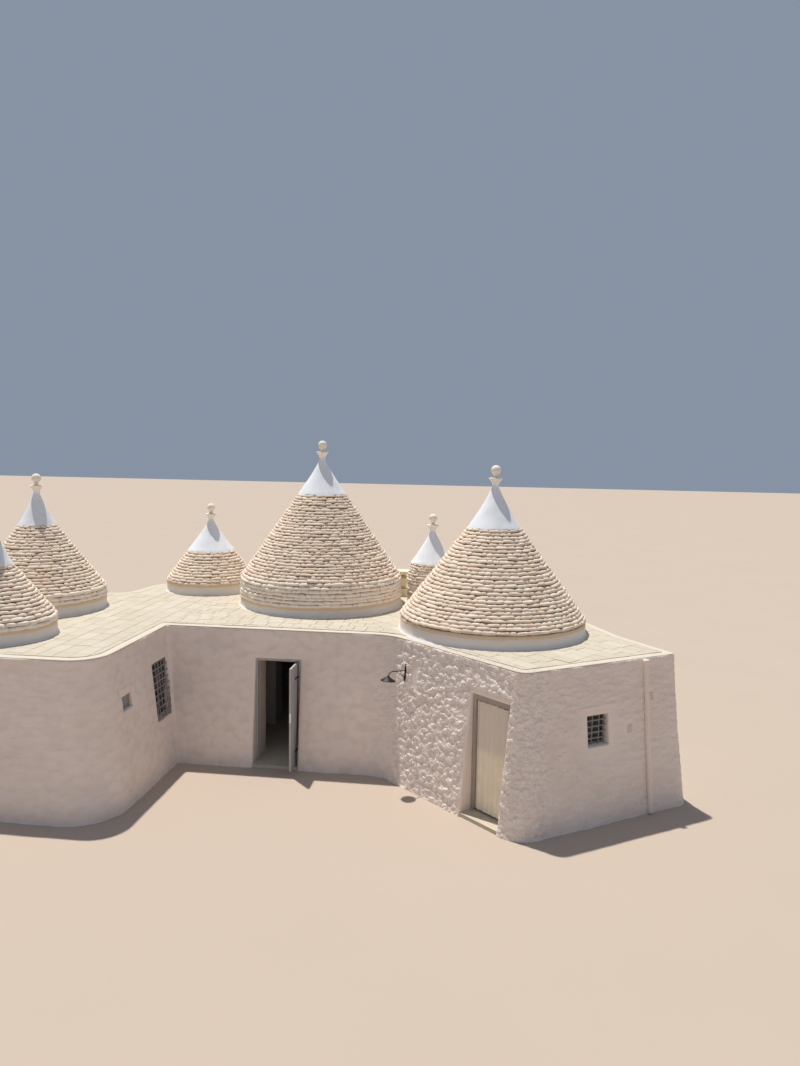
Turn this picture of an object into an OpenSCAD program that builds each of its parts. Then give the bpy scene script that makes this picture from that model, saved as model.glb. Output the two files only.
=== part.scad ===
// A trullo house: whitewashed limestone walls round a corner of a court, flat paved roofs,
// and six cones of dry stone courses, each with a plastered cap and a turned pinnacle.
// The origin is on the ground, on the axis of the main cone. The door wall faces -Y.

/* [Walls] */
// Height of the roof terrace above the ground
wall_h = 2560; // [2400:10:3000]
// Thickness of the roof slab on the walls
roof_t = 180; // [120:10:240]
// Thickness of the outer walls at their top
wall_t = 600; // [450:10:650]
// Outward lean of the outer wall faces, per unit of height
batter = 0.11; // [0.02:0.01:0.14]
// Thickness of the floor paving
floor_t = 60; // [40:5:120]
// Width of terrace kept round a drum at the back of the house
eave = 300; // [250:10:400]

/* [Plan] */
// Distance of the door wall from the axis of the main cone
court_d = 2790; // [2700:10:3000]
// Distance of the court's side wall from that axis
side_d = 2330; // [2200:10:2500]
// Distance of the wing's front wall from that axis
wing_d = 5500; // [5480:10:5700]
// Radius of the wing's soft outer corner
wing_corner_r = 550; // [300:10:700]
// How far the rough-cast wall starts to the right of the main axis
bend_x = 1920; // [1800:10:2000]
// Radius of the soft bend between the door wall and the rough-cast wall
bend_r = 800; // [400:10:1000]
// Distance of the front corner to the right of the main axis
front_x = 4230; // [4200:10:4300]
// Distance of the front corner in front of the main axis
front_y = 4930; // [4900:5:5000]
// Radius of the front corner
front_r = 220; // [120:10:230]
// Distance of the right corner to the right of the main axis
right_x = 6830; // [6700:10:7000]
// Distance of the right corner in front of the main axis
right_y = 3190; // [3100:10:3300]

/* [Back of the house] */
// How far the gable's rear corner stands to the left of the right corner
gable_in = 750; // [600:10:900]
// How far the gable's rear corner stands behind the right corner
gable_back = 1110; // [900:10:1200]
// How far the hollow behind the rear cone stands clear of its drum
hollow_out = 650; // [500:10:700]
// Distance of that hollow behind the main axis
hollow_back = 130; // [60:10:200]
// How far the left wall's front corner stands behind the wing cone's axis
left_back = 650; // [500:10:700]
// Radius of the right corner
right_corner_r = 90; // [60:5:120]
// Radius of the wing's left corner
wing_end_r = 300; // [200:10:400]
// Radius of the tight corners of the back wall
tight_r = 400; // [300:10:450]
// Radius of its round corners
round_r = 700; // [500:10:720]

/* [Stonework] */
// Height of one course of roofing stones
course_h = 60; // [40:1:90]
// How far a course stands out over the one above it, at its lower edge
course_lip = 12; // [4:1:20]
// Thickness of the layer of roofing stones
stone_t = 170; // [120:5:200]
// How far the lowest course overhangs the drum
overhang = 15; // [5:1:30]
// Height of the plastered drum under the stones
drum_h = 250; // [180:10:320]
// Thickness of a drum's wall
drum_t = 450; // [400:10:480]
// Bedding gap between the roofing stones and the dome
bed = 0.5; // [0.3:0.1:3]

/* [Pinnacles] */
// Radius of the neck under the collar
neck_r = 56; // [40:1:80]
// Radius of the collar's top edge
collar_r = 130; // [100:1:160]
// Height of the collar over the neck
collar_h = 145; // [100:5:180]
// Radius of the stem under the ball
stem_r = 40; // [30:1:50]
// Height of the stem seen between collar and ball
stem_h = 60; // [30:5:90]
// Radius of the ball
ball_r = 92; // [70:1:110]

/* [Main cone] */
// Outer radius of the main drum
main_r = 1720; // [1650:10:1760]
// Height of the steep foot of the main cone's stones
main_foot_h = 380; // [100:10:500]
// Height of the main cone's stones
main_stone_h = 2130; // [1900:10:2300]
// Radius of the main cone at the foot of its cap
main_cap_r = 507; // [450:1:560]
// Height of the main cone's cap up to the neck
main_cap_h = 750; // [650:10:850]

/* [Right cone] */
// Distance of the right cone's axis to the right of the main axis
right_cone_x = 3715; // [3700:5:3800]
// Distance of the right cone's axis in front of the main axis
right_cone_y = 1907; // [1800:1:1920]
// Outer radius of the right cone's drum
right_r = 1720; // [1600:10:1740]
// Height of the steep foot of the right cone's stones
right_foot_h = 60; // [20:10:300]
// Height of the right cone's stones
right_stone_h = 1690; // [1500:10:1900]
// Radius of the right cone at the foot of its cap
right_cap_r = 495; // [450:1:560]
// Height of the right cone's cap up to the neck
right_cap_h = 770; // [650:10:850]

/* [Small cone] */
// Gap between the small cone's drum and the main drum
small_gap = 173; // [120:1:300]
// Turn of the small cone round the main axis, from its right side to its back
small_turn = 12.6; // [8:0.1:20]
// Outer radius of the small cone's drum
small_r = 530; // [500:10:560]
// Height of the steep foot of the small cone's stones
small_foot_h = 350; // [200:10:400]
// Height of the small cone's stones
small_stone_h = 650; // [600:10:800]
// Radius of the small cone at the foot of its cap
small_cap_r = 460; // [420:1:480]
// Height of the small cone's cap up to the neck
small_cap_h = 680; // [600:10:760]

/* [Rear cone] */
// Distance of the rear cone's axis to the left of the main axis
rear_cone_x = 2893; // [2850:1:3000]
// Distance of the rear cone's axis behind the main axis
rear_cone_y = 1091; // [1050:1:1200]
// Outer radius of the rear cone's drum
rear_r = 1000; // [900:10:1050]
// Height of the steep foot of the rear cone's stones
rear_foot_h = 60; // [20:10:200]
// Height of the rear cone's stones
rear_stone_h = 690; // [600:10:800]
// Radius of the rear cone at the foot of its cap
rear_cap_r = 530; // [450:1:560]
// Height of the rear cone's cap up to the neck
rear_cap_h = 700; // [600:10:760]

/* [Left cone] */
// Distance of the left cone's axis to the left of the main axis
left_cone_x = 5500; // [5450:10:5600]
// Distance of the left cone's axis in front of the main axis
left_cone_y = 1760; // [1700:10:1800]
// Outer radius of the left cone's drum
left_r = 1290; // [1200:10:1320]
// Height of the steep foot of the left cone's stones
left_foot_h = 190; // [40:10:300]
// Height of the left cone's stones
left_stone_h = 1470; // [1300:10:1600]
// Radius of the left cone at the foot of its cap
left_cap_r = 350; // [320:1:420]
// Height of the left cone's cap up to the neck
left_cap_h = 640; // [550:10:700]

/* [Wing cone] */
// Distance of the wing cone's axis to the left of the main axis
wing_cone_x = 4850; // [4800:10:4900]
// Distance of the wing cone's axis in front of the main axis
wing_cone_y = 4180; // [4160:10:4250]
// Outer radius of the wing cone's drum
wing_r = 985; // [900:5:1000]
// Height of the steep foot of the wing cone's stones
wing_foot_h = 120; // [40:10:200]
// Height of the wing cone's stones
wing_stone_h = 1010; // [900:10:1100]
// Radius of the wing cone at the foot of its cap
wing_cap_r = 300; // [280:1:360]
// Height of the wing cone's cap up to the neck
wing_cap_h = 600; // [500:10:700]

/* [Doors] */
// Distance of the open doorway's left jamb to the left of the main axis
door_left = 600; // [550:5:650]
// Width of the open doorway in the wall
door_w = 850; // [800:5:1000]
// Height of both doorways above the ground
door_h = 2020; // [1950:5:2100]
// Width of a door frame's bars as seen from the front
frame_w = 40; // [30:1:60]
// Depth of the door frames
frame_d = 70; // [60:1:120]
// Width of the door leaf
leaf_w = 450; // [350:5:460]
// Thickness of the door leaf
leaf_t = 40; // [30:1:45]
// Working gap round the door leaf
leaf_gap = 6; // [5.5:0.5:10]
// Distance of the curtained doorway from the bend, along its wall
curtain_door_at = 2125; // [2100:5:2200]
// Width of the curtained doorway in the wall
curtain_door_w = 815; // [780:5:900]
// Depth of the curtain's folds
curtain_t = 50; // [30:1:60]
// Radius of the door's hinge pins
pin_r = 5; // [4:0.5:7]
// Height of a hinge eye and its strap
eye_h = 36; // [24:2:50]

/* [Windows] */
// Distance of the front window from the front corner, along its wall
window_at = 1215; // [1150:5:1300]
// Width of the front window's opening
window_w = 420; // [350:5:500]
// Height of the front window's opening
window_h = 495; // [400:5:600]
// Height of the front window's sill above the ground
window_sill = 1250; // [1100:10:1400]
// How far the window frames stand back from the wall face
window_back = 130; // [60:5:200]
// Width of the window frames' bars as seen from the front
window_bar = 32; // [20:1:45]
// Depth of the window frames
window_d = 45; // [35:1:60]
// Thickness of the window panes
pane_t = 10; // [6:1:20]
// Thickness of the hatch's shutter board
board_t = 25; // [15:1:30]
// Width of the court window's opening
court_window_w = 620; // [500:5:640]
// Height of the court window's opening
court_window_h = 1050; // [800:10:1100]
// Height of the court window's sill above the ground
court_window_sill = 950; // [900:10:1000]
// Distance of the court window from the inner corner
court_window_at = 175; // [150:5:200]
// Width of the shuttered hatch's opening
hatch_w = 345; // [300:5:400]
// Height of the shuttered hatch's opening
hatch_h = 245; // [200:5:300]
// Height of the hatch's sill above the ground
hatch_sill = 1530; // [1400:10:1600]
// Distance of the hatch from the inner corner
hatch_at = 1645; // [1550:5:1700]

/* [Fittings] */
// Gap between the chimney and the main cone's lowest course
chimney_gap = 10; // [2:1:40]
// Turn of the chimney round the main axis, from its right side to its back
chimney_turn = 38.3; // [34:0.1:44]
// Width of the chimney
chimney_w = 360; // [300:10:400]
// Height of one block of the chimney
chimney_block_h = 170; // [120:5:200]
// Height of a smoke slot between the chimney's blocks
chimney_slot_h = 80; // [50:5:100]
// How far the slots stand back from the chimney's faces
chimney_slot_in = 60; // [30:5:80]
// Radius of the downpipe
pipe_r = 42; // [30:1:60]
// Distance of the downpipe from the front corner, along its wall
pipe_at = 2430; // [2400:5:2500]
// Length of the wall lamp's arm
lamp_arm = 380; // [300:5:450]
// Radius of the lamp shade's rim
shade_r = 130; // [100:5:150]
// Distance of the wall lamp from the bend, along its wall
lamp_at = 480; // [400:10:600]
// Height of the wall lamp's back plate above the ground
lamp_z = 1830; // [1700:10:1900]
// Length of the wall lamp's back plate
plate_h = 310; // [250:10:350]
// Width of the vent plates
vent_w = 85; // [60:5:100]
// Height of the vent plates
vent_h = 125; // [80:5:150]
// Distance of the upper vent plate from the front corner, along its wall
upper_vent_at = 2555; // [2540:5:2580]
// Distance of the lower vent plate from the front corner, along its wall
lower_vent_at = 2080; // [1950:10:2250]
// Height of the upper vent plate above the ground
upper_vent_z = 1840; // [1600:10:2000]
// Height of the lower vent plate above the ground
lower_vent_z = 1375; // [1200:10:1500]

/* [Hidden] */
$fn = 96;

whitewash = [0.93, 0.91, 0.87];
limestone = [0.86, 0.80, 0.69];
paving = [0.90, 0.87, 0.78];
grey_wood = [0.55, 0.53, 0.51];
linen = [0.80, 0.76, 0.66];
glass = [0.22, 0.25, 0.27];
tufa = [0.95, 0.87, 0.66];
black_iron = [0.13, 0.12, 0.12];

wall_top = wall_h - roof_t;
seat = 0.3;
far = 20000;
arc_steps = 6;
tight_steps = 3;        // steps of an arc on the tightest corners
least_r = 20;           // least radius of an inner corner
lean = atan(batter);

// Cones: [x, y, drum radius, height of foot, height of stones, radius and height of cap]
main_cone = [0, 0, main_r, main_foot_h, main_stone_h, main_cap_r, main_cap_h];
small_d = main_r + small_gap + small_r;
right_cone = [right_cone_x, -right_cone_y, right_r, right_foot_h, right_stone_h,
    right_cap_r, right_cap_h];
small_cone = [small_d * cos(small_turn), small_d * sin(small_turn), small_r, small_foot_h, small_stone_h,
    small_cap_r, small_cap_h];
rear_cone = [-rear_cone_x, rear_cone_y, rear_r, rear_foot_h, rear_stone_h,
    rear_cap_r, rear_cap_h];
left_cone = [-left_cone_x, -left_cone_y, left_r, left_foot_h, left_stone_h,
    left_cap_r, left_cap_h];
wing_cone = [-wing_cone_x, -wing_cone_y, wing_r, wing_foot_h, wing_stone_h,
    wing_cap_r, wing_cap_h];
cones = [main_cone, right_cone, small_cone, rear_cone, left_cone, wing_cone];

// Plan of the outer wall face at its top, anticlockwise, as [x, y, corner radius].
// A radius of 0 marks a place where two lengths of wall meet.
function along(a, b, d) = let (v = b - a) a + v / norm(v) * d;
function split(a, b, d) = let (p = along(a, b, d)) [p.x, p.y, 0];
function around(c, angle, k) = [c[0] + (c[2] + eave) * k * cos(angle),
    c[1] + (c[2] + eave) * k * sin(angle)];
function xy(p) = [p.x, p.y];

wing_left_x = -wing_cone_x - wing_r - eave;
wing_corner = [wing_left_x, -wing_d];
side_corner = [-side_d, -wing_d];
court_corner = [-side_d, -court_d];
bend = [bend_x, -court_d];
front_corner = [front_x, -front_y];
right_corner = [right_x, -right_y];
gable = [right_x - gable_in, -right_y + gable_back];
// Points of the back wall stand round the drums, at an angle and a share of the terrace's edge
back_1 = around(right_cone, 28, 1.04);
back_2 = around(right_cone, 75, 1.13);
back_3 = around(small_cone, 37, 1.26);
back_4 = around(main_cone, 54, 1.16);
back_5 = around(main_cone, 116, 1.24);
back_6 = around(rear_cone, 110, 1.15);
back_7 = around(rear_cone, 170, 1.15);
back_8 = [-rear_cone_x - rear_r - hollow_out, hollow_back];
back_9 = around(left_cone, 100, 1.15);
back_10 = around(left_cone, 150, 1.15);
back_11 = around(left_cone, 205, 1.15);
back_12 = [wing_left_x, -wing_cone_y + left_back];

// Places where two lengths of wall meet, at a distance from a corner
left_joint_at = 700;
wing_joint_at = 900;
side_joint_at = 1000;
window_joint_at = 700;
right_joint_at = 650;
gable_joint_at = 700;
back_joint_at = 300;
rear_joint_at = 1200;
hollow_joint_at = 600;
function corner(p, r) = [p.x, p.y, r];
left_joint = split(back_12, wing_corner, left_joint_at);
wing_joint = split(side_corner, wing_corner, wing_joint_at);
side_joint = split(court_corner, side_corner, side_joint_at);
door_jamb_left = [-door_left, -court_d, 0];
door_jamb_right = [-door_left + door_w, -court_d, 0];
curtain_jamb_left = split(bend, front_corner, curtain_door_at);
curtain_jamb_right = split(bend, front_corner, curtain_door_at + curtain_door_w);
window_joint = split(front_corner, right_corner, window_joint_at);
right_joint = split(right_corner, front_corner, right_joint_at);
gable_joint = split(right_corner, gable, gable_joint_at);
back_joint_1 = split(back_2, back_1, back_joint_at);
back_joint_2 = split(back_4, back_5, rear_joint_at);
back_joint_3 = split(back_7, back_8, hollow_joint_at);

plan = [
    left_joint, corner(wing_corner, wing_end_r), wing_joint, corner(side_corner, wing_corner_r),
    side_joint, corner(court_corner, 0), door_jamb_left, door_jamb_right,
    corner(bend, bend_r), curtain_jamb_left,
    corner(front_corner, front_r), window_joint, right_joint,
    corner(right_corner, right_corner_r), gable_joint, corner(gable, tight_r),
    corner(back_1, tight_r), back_joint_1, corner(back_2, round_r), corner(back_3, round_r),
    corner(back_4, round_r), back_joint_2, corner(back_5, round_r), corner(back_6, round_r),
    corner(back_7, round_r), back_joint_3, corner(back_8, tight_r), corner(back_9, round_r),
    corner(back_10, round_r), corner(back_11, round_r), corner(back_12, tight_r)];
count = len(plan);

// One plan corner moved out by d (in where d is negative), as a list of points
function unit(v) = v / norm(v);
function turn(a, b) = a.x * b.y - a.y * b.x;
function moved(i, d) =
    let (p = xy(plan[i % count]), q = xy(plan[(i + count - 1) % count]),
        s = xy(plan[(i + 1) % count]), u = unit(p - q), v = unit(s - p),
        n = unit([u.y + v.y, -u.x - v.x]), c = n * [u.y, -u.x])
    p + n * d / c;
function corner_points(i, d) =
    let (r0 = plan[i % count][2], p = moved(i, d),
        u = unit(xy(plan[i % count]) - xy(plan[(i + count - 1) % count])),
        v = unit(xy(plan[(i + 1) % count]) - xy(plan[i % count])),
        left = turn(u, v) > 0 ? 1 : -1,
        r = max(r0 + left * d, least_r), half = acos(u * v) / 2, cut = r * tan(half),
        centre = p - u * cut + left * r * [-u.y, u.x],
        steps = r0 <= right_corner_r ? tight_steps : arc_steps)
    r0 == 0 ? [p] : [for (k = [0:steps]) let (t = -left * (90 - 2 * half * k / steps),
        e = [u.x * cos(t) - u.y * sin(t), u.x * sin(t) + u.y * cos(t)]) centre + r * e];
function ring(i, j, d) = [for (k = [i:j]) each corner_points(k, d)];
function at(name_point) = [for (i = [0:count - 1]) if (plan[i] == name_point) i][0];
function lean_at(z) = batter * (wall_top - z);

// A length of battered wall between two joints of the plan, from z0 up to z1
module wall(from, to, z0 = 0, z1 = wall_top) {
    i = at(from);
    j = at(to) < i ? at(to) + count : at(to);
    rings = [ring(i, j, lean_at(z0)), ring(i, j, lean_at(z1)), ring(i, j, -wall_t),
        ring(i, j, -wall_t)];
    n = len(rings[0]);
    points = concat([for (p = rings[0]) [p.x, p.y, z0]], [for (p = rings[1]) [p.x, p.y, z1]],
        [for (p = rings[2]) [p.x, p.y, z1]], [for (p = rings[3]) [p.x, p.y, z0]]);
    sides = [for (s = [0:3], k = [0:n - 2]) each let (a = s * n + k, b = ((s + 1) % 4) * n + k)
        [[a, b, b + 1], [a, b + 1, a + 1]]];
    ends = [[0, 3 * n, 2 * n, n], [n - 1, 2 * n - 1, 3 * n - 1, 4 * n - 1]];
    polyhedron(points, concat(sides, ends));
}

// Moves its children onto a wall face: x runs along the wall, y into it, z up
module on_wall(a, b, d, z) {
    p = along(a, b, d);
    v = b - a;
    translate([p.x, p.y, z]) rotate([0, 0, atan2(v.y, v.x)])
        translate([0, -lean_at(z), 0]) children();
}

// A box in such a place, centred on the x axis, from y0 to y1 and z high
module wall_box(w, y0, y1, h) translate([-w / 2, y0, 0]) cube([w, y1 - y0, h]);

// A cut right through a wall for an opening
module opening(a, b, d, sill, w, h) on_wall(a, b, d, sill) wall_box(w, -wall_t, 2 * wall_t, h);

// A window frame in its opening, and a pane or board in the middle of such a frame's depth,
// smaller than its clear opening by the gap all round
module window_frame(w, h) difference() {
    translate([0, 0, seat]) wall_box(w - 2 * seat, 0, window_d, h - 2 * seat);
    translate([0, 0, window_bar]) wall_box(w - 2 * window_bar, -1, window_d + 1,
        h - 2 * window_bar);
}
module panel(w, h, thick, gap) translate([0, (window_d - thick) / 2, window_bar + gap])
    wall_box(w - 2 * (window_bar + gap), 0, thick, h - 2 * (window_bar + gap));

// Floor and roofs
module plan_face(d) polygon(ring(0, count - 1, d));

module threshold(a, b, inward) {
    foot = lean_at(0);
    u = unit(xy(b) - xy(a));
    out = [u.y, -u.x];
    polygon([xy(a) + out * foot, xy(b) + out * foot, xy(b) - out * inward,
        xy(a) - out * inward]);
}

module floor() color(paving) linear_extrude(floor_t) union() {
    plan_face(-wall_t);
    threshold(door_jamb_left, door_jamb_right, wall_t + 1);
    threshold(curtain_jamb_left, curtain_jamb_right, passage_d);
}

// The plastered pier seen through the open door, to the left of the entrance
pier_x = [-1500, -1020, -790];
pier_y = [-1900, -815, -300];
module entrance_pier() color(whitewash) translate([0, 0, floor_t])
    linear_extrude(wall_top - floor_t)
        polygon([[pier_x[0], pier_y[0]], [pier_x[1], pier_y[0]], [pier_x[1], pier_y[1]],
            [pier_x[2], pier_y[1]], [pier_x[2], pier_y[2]], [pier_x[0], pier_y[2]]]);

module roof(area) color(paving) translate([0, 0, wall_top]) difference() {
    linear_extrude(roof_t) intersection() {
        plan_face(0);
        polygon(area);
    }
    for (c = cones) translate([c[0], c[1], -1]) cylinder(r = c[2] - drum_t, h = roof_t + 2);
}

right_cut = (main_r + small_cone[0] - small_r) / 2;
left_cut = -(rear_cone_x + rear_r + left_cone_x - left_r) / 2;
module roof_right() roof([[right_cut, -far], [far, -far], [far, far], [right_cut, far]]);
module roof_centre() roof([[left_cut, -court_d], [0, -court_d], [0, -far], [right_cut, -far],
    [right_cut, far], [left_cut, far]]);
module roof_left() roof([[-far, -far], [0, -far], [0, -court_d], [left_cut, -court_d],
    [left_cut, far], [-far, far]]);

// Shape of the cones
crown_t = 150;          // thickness of a dome at its crown
haunch = [0.62, 0.55];  // where its inner face bends: share of the radius, share of the height
cap_sag = 1.2;          // how hollow a cap's side is
flare_sag = 1.6;        // how hollow a collar's side is
collar_lip = 15;        // height of the collar's upright edge
ball_sink = 0.9;        // share of the ball's radius above its stem
ball_from = -asin(ball_sink);
function stone_z(c) = wall_h + drum_h;
function cap_z(c) = wall_h + drum_h + c[4];
function foot_r(c) = c[2] + overhang;
function slope_r(c, z) =
    let (z0 = stone_z(c), z1 = z0 + c[3], z2 = cap_z(c))
    z < z1 ? foot_r(c) - overhang * (z - z0) / c[3]
        : c[2] + (c[5] - c[2]) * (z - z1) / (z2 - z1);

// Dome: the drum, and the corbelled shell that carries the roofing stones
module dome(c) {
    z0 = stone_z(c);
    z1 = z0 + c[3];
    z2 = cap_z(c);
    inner_r = c[2] - drum_t;
    apex = z2 - crown_t;
    back = stone_t + bed;
    color(whitewash) translate([c[0], c[1], 0]) rotate_extrude() polygon([
        [inner_r, wall_h], [c[2], wall_h], [c[2], z0], [foot_r(c) - back, z0],
        [c[2] - back, z1], [c[5] - back, z2], [0, z2], [0, apex],
        [inner_r * haunch[0], z0 + (apex - z0) * haunch[1]], [inner_r, z0]]);
}

// Roofing stones: flat courses, each set back from the one below it
module stones(c) {
    n = round(c[4] / course_h);
    h = c[4] / n;
    z0 = stone_z(c);
    steps = [for (k = [0:n - 1]) let (z = z0 + k * h, r = slope_r(c, z + h / 2))
        each [[r + course_lip, z], [r + course_lip / 2, z + h]]];
    color(limestone) translate([c[0], c[1], 0]) rotate_extrude() polygon(concat(steps,
        [[c[5] - stone_t, cap_z(c)], [c[2] - stone_t, z0 + c[3]],
        [foot_r(c) - stone_t, z0]]));
}

// Cap and pinnacle: a hollow-sided plaster cone, a flared collar, a stem and a ball
module cap(c) {
    z0 = cap_z(c);
    neck_z = z0 + c[6];
    collar_z = neck_z + collar_h;
    ball_z = collar_z + stem_h + ball_r * ball_sink;
    sweep = [for (k = [0:12]) let (t = k / 12) [neck_r + (c[5] - neck_r) * pow(1 - t, cap_sag),
        z0 + c[6] * t]];
    flare = [for (k = [1:6]) let (t = k / 6) [neck_r + (collar_r - neck_r) * pow(t, flare_sag),
        neck_z + (collar_h - collar_lip) * t]];
    ball = [for (k = [0:16]) let (t = ball_from + (90 - ball_from) * k / 16) [ball_r * cos(t),
        ball_z + ball_r * sin(t)]];
    color(whitewash) translate([c[0], c[1], 0]) rotate_extrude() polygon(concat([[0, z0]],
        sweep, flare, [[collar_r, collar_z], [stem_r, collar_z]], ball));
}

module main_dome() dome(main_cone);
module main_stones() stones(main_cone);
module main_cap() cap(main_cone);
module right_dome() dome(right_cone);
module right_stones() stones(right_cone);
module right_cap() cap(right_cone);
module small_dome() dome(small_cone);
module small_stones() stones(small_cone);
module small_cap() cap(small_cone);
module rear_dome() dome(rear_cone);
module rear_stones() stones(rear_cone);
module rear_cap() cap(rear_cone);
module left_dome() dome(left_cone);
module left_stones() stones(left_cone);
module left_cap() cap(left_cone);
module wing_dome() dome(wing_cone);
module wing_stones() stones(wing_cone);
module wing_cap() cap(wing_cone);

// Walls
module wing_front_wall() color(whitewash) wall(left_joint, wing_joint);
module wing_side_wall() color(whitewash) difference() {
    wall(wing_joint, side_joint);
    opening(side_corner, court_corner, hatch_d, hatch_sill, hatch_w, hatch_h);
}
module court_window_wall() color(whitewash) difference() {
    wall(side_joint, corner(court_corner, 0));
    opening(side_corner, court_corner, court_window_d, court_window_sill, court_window_w,
        court_window_h);
}
module door_wall_left() color(whitewash) wall(corner(court_corner, 0), door_jamb_left);
module door_lintel() color(whitewash) wall(door_jamb_left, door_jamb_right, door_h);
module door_wall_right() color(whitewash) wall(door_jamb_right, curtain_jamb_left);
module curtain_door_lintel() color(whitewash) intersection() {
    wall(curtain_jamb_left, window_joint);
    passage(door_h);
}
module front_corner_wall() color(whitewash) difference() {
    wall(curtain_jamb_left, window_joint);
    passage(-over, over);
}
module window_wall() color(whitewash) difference() {
    wall(window_joint, right_joint);
    opening(front_corner, right_corner, window_mid, window_sill, window_w, window_h);
    passage(-over);
}
module right_corner_wall() color(whitewash) difference() {
    wall(right_joint, gable_joint);
    passage(-over);
}
module right_back_wall() color(whitewash) wall(gable_joint, back_joint_1);
module back_wall_right() color(whitewash) wall(back_joint_1, back_joint_2);
module back_wall_left() color(whitewash) wall(back_joint_2, back_joint_3);
module left_wall() color(whitewash) wall(back_joint_3, left_joint);

// The curtained doorway's passage, from z up. It runs on along the window wall's inner face,
// and clear widens it on the left, to clear the corner pier's inner side.
passage_d = 1750;
over = 5;
module passage(z, clear = 0) on_wall(bend, front_corner, curtain_door_at, wall_top)
    translate([-clear, -wall_t, z - wall_top])
        cube([curtain_door_w + clear, wall_t + passage_d, wall_top + 2 * over]);

// Centres of the openings, measured along their walls
side_len = norm(court_corner - side_corner);
hatch_d = side_len - hatch_at - hatch_w / 2;
court_window_d = side_len - court_window_at - court_window_w / 2;
window_mid = window_at + window_w / 2;

// Open doorway: the frame stands at the wall face under the lintel
frame_in = 5;
frame_y = -court_d - lean_at(door_h) + frame_in;
clear_h = door_h - floor_t - frame_w;
module frame(w) {
    h = door_h - floor_t;
    for (x = [seat, w - frame_w]) translate([x, 0, 0]) cube([frame_w - seat, frame_d, h - seat]);
    translate([frame_w, 0, h - frame_w]) cube([w - 2 * frame_w, frame_d, frame_w - seat]);
}
module door_frame() color(grey_wood) {
    translate([-door_left, frame_y, floor_t]) frame(door_w);
    for (z = hinge_z) translate([pin_x, pin_y, z]) pintle();
}

// The leaf stands open at right angles to the wall, on the right jamb. Its hinge pins stand
// in front of the frame, and their line is the hinge axis.
strap_t = 6;
strap_l = 180;
pin_play = 0.1;
lug_h = 12;
lug_wall = 2;           // how far a lug stands out round its pin
lug_short = 10;         // how far it stops short of the frame bar's outer edge
lug_neck = 8;           // how far its neck to the frame stands off the pin
pin_over = 6;           // how far a pin stands above its eye
eye_wall = 5;
eye_lift = 1;           // gap between a lug and the eye over it
hinge_low = 250;        // height of the lower pintle above the floor
hinge_high = 300;       // how far the upper pintle lies under the door head
pin_x = -door_left + door_w - frame_w;
pin_y = frame_y - 2 * leaf_gap - strap_t;
hinge_z = [floor_t + hinge_low, floor_t + clear_h - hinge_high];
module pintle() {
    reach = frame_y - pin_y + 1;
    lug_r = pin_r + lug_wall;
    lug_l = frame_w - lug_short;
    cylinder(r = lug_r, h = lug_h);
    cylinder(r = pin_r, h = lug_h + eye_h + pin_over);
    translate([0, -lug_r, 0]) cube([lug_l, 2 * lug_r, lug_h]);
    translate([lug_neck, 0, 0]) cube([lug_l - lug_neck, reach, lug_h]);
}
module door_leaf() color(grey_wood) translate([pin_x, pin_y, 0]) {
    face = strap_t + leaf_gap;
    translate([-face - leaf_t, -leaf_gap - leaf_w, floor_t + leaf_gap])
        cube([leaf_t, leaf_w, clear_h - 2 * leaf_gap]);
    for (z = hinge_z) translate([0, 0, z + lug_h + eye_lift]) difference() {
        union() {
            cylinder(r = pin_r + eye_wall, h = eye_h);
            translate([-face, -strap_l, 0]) cube([strap_t, strap_l, eye_h]);
        }
        translate([0, 0, -1]) cylinder(r = pin_r + pin_play, h = eye_h + 2);
    }
}

// Curtained doorway, in a frame set back a little
curtain_back = 25;
curtain_side = 10;
curtain_foot = 15;
module curtain_frame() color(grey_wood)
    on_wall(bend, front_corner, curtain_door_at, door_h)
        translate([0, curtain_back, floor_t - door_h]) frame(curtain_door_w);
module door_curtain() color(linen)
    on_wall(bend, front_corner, curtain_door_at, door_h)
        translate([frame_w + curtain_side, curtain_back + (frame_d - curtain_t) / 2,
            floor_t - door_h + curtain_foot])
            cube([curtain_door_w - 2 * (frame_w + curtain_side), curtain_t,
                clear_h - curtain_foot - seat]);

// Windows, and the hatch with its shutter board
module in_front_window() on_wall(front_corner, right_corner, window_mid, window_sill)
    translate([0, window_back, 0]) children();
module in_court_window() on_wall(side_corner, court_corner, court_window_d, court_window_sill)
    translate([0, window_back, 0]) children();
module front_window() color(grey_wood) in_front_window() window_frame(window_w, window_h);
module court_window() color(grey_wood)
    in_court_window() window_frame(court_window_w, court_window_h);
module window_panes() color(glass) {
    in_front_window() panel(window_w, window_h, pane_t, seat);
    in_court_window() panel(court_window_w, court_window_h, pane_t, seat);
}
module hatch_shutter() color(grey_wood) on_wall(side_corner, court_corner, hatch_d, hatch_sill)
    translate([0, window_back / 2, 0]) {
        window_frame(hatch_w, hatch_h);
        panel(hatch_w, hatch_h, board_t, 0);
    }

// Chimney of squared blocks with open smoke slots between them
chimney_reach = chimney_w / 2 * (cos(chimney_turn) + sin(chimney_turn));
chimney_d = main_r + overhang + course_lip + chimney_gap + chimney_reach;
module chimney() color(tufa)
    translate([chimney_d * cos(chimney_turn), chimney_d * sin(chimney_turn), wall_h]) {
    pitch = chimney_block_h + chimney_slot_h;
    core = chimney_w - 2 * chimney_slot_in;
    for (k = [0:2]) translate([-chimney_w / 2, -chimney_w / 2, k * pitch])
        cube([chimney_w, chimney_w, k == 2 ? chimney_slot_h : chimney_block_h]);
    for (k = [0:1]) translate([-core / 2, -core / 2, k * pitch + chimney_block_h])
        cube([core, core, chimney_slot_h]);
}

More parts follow.
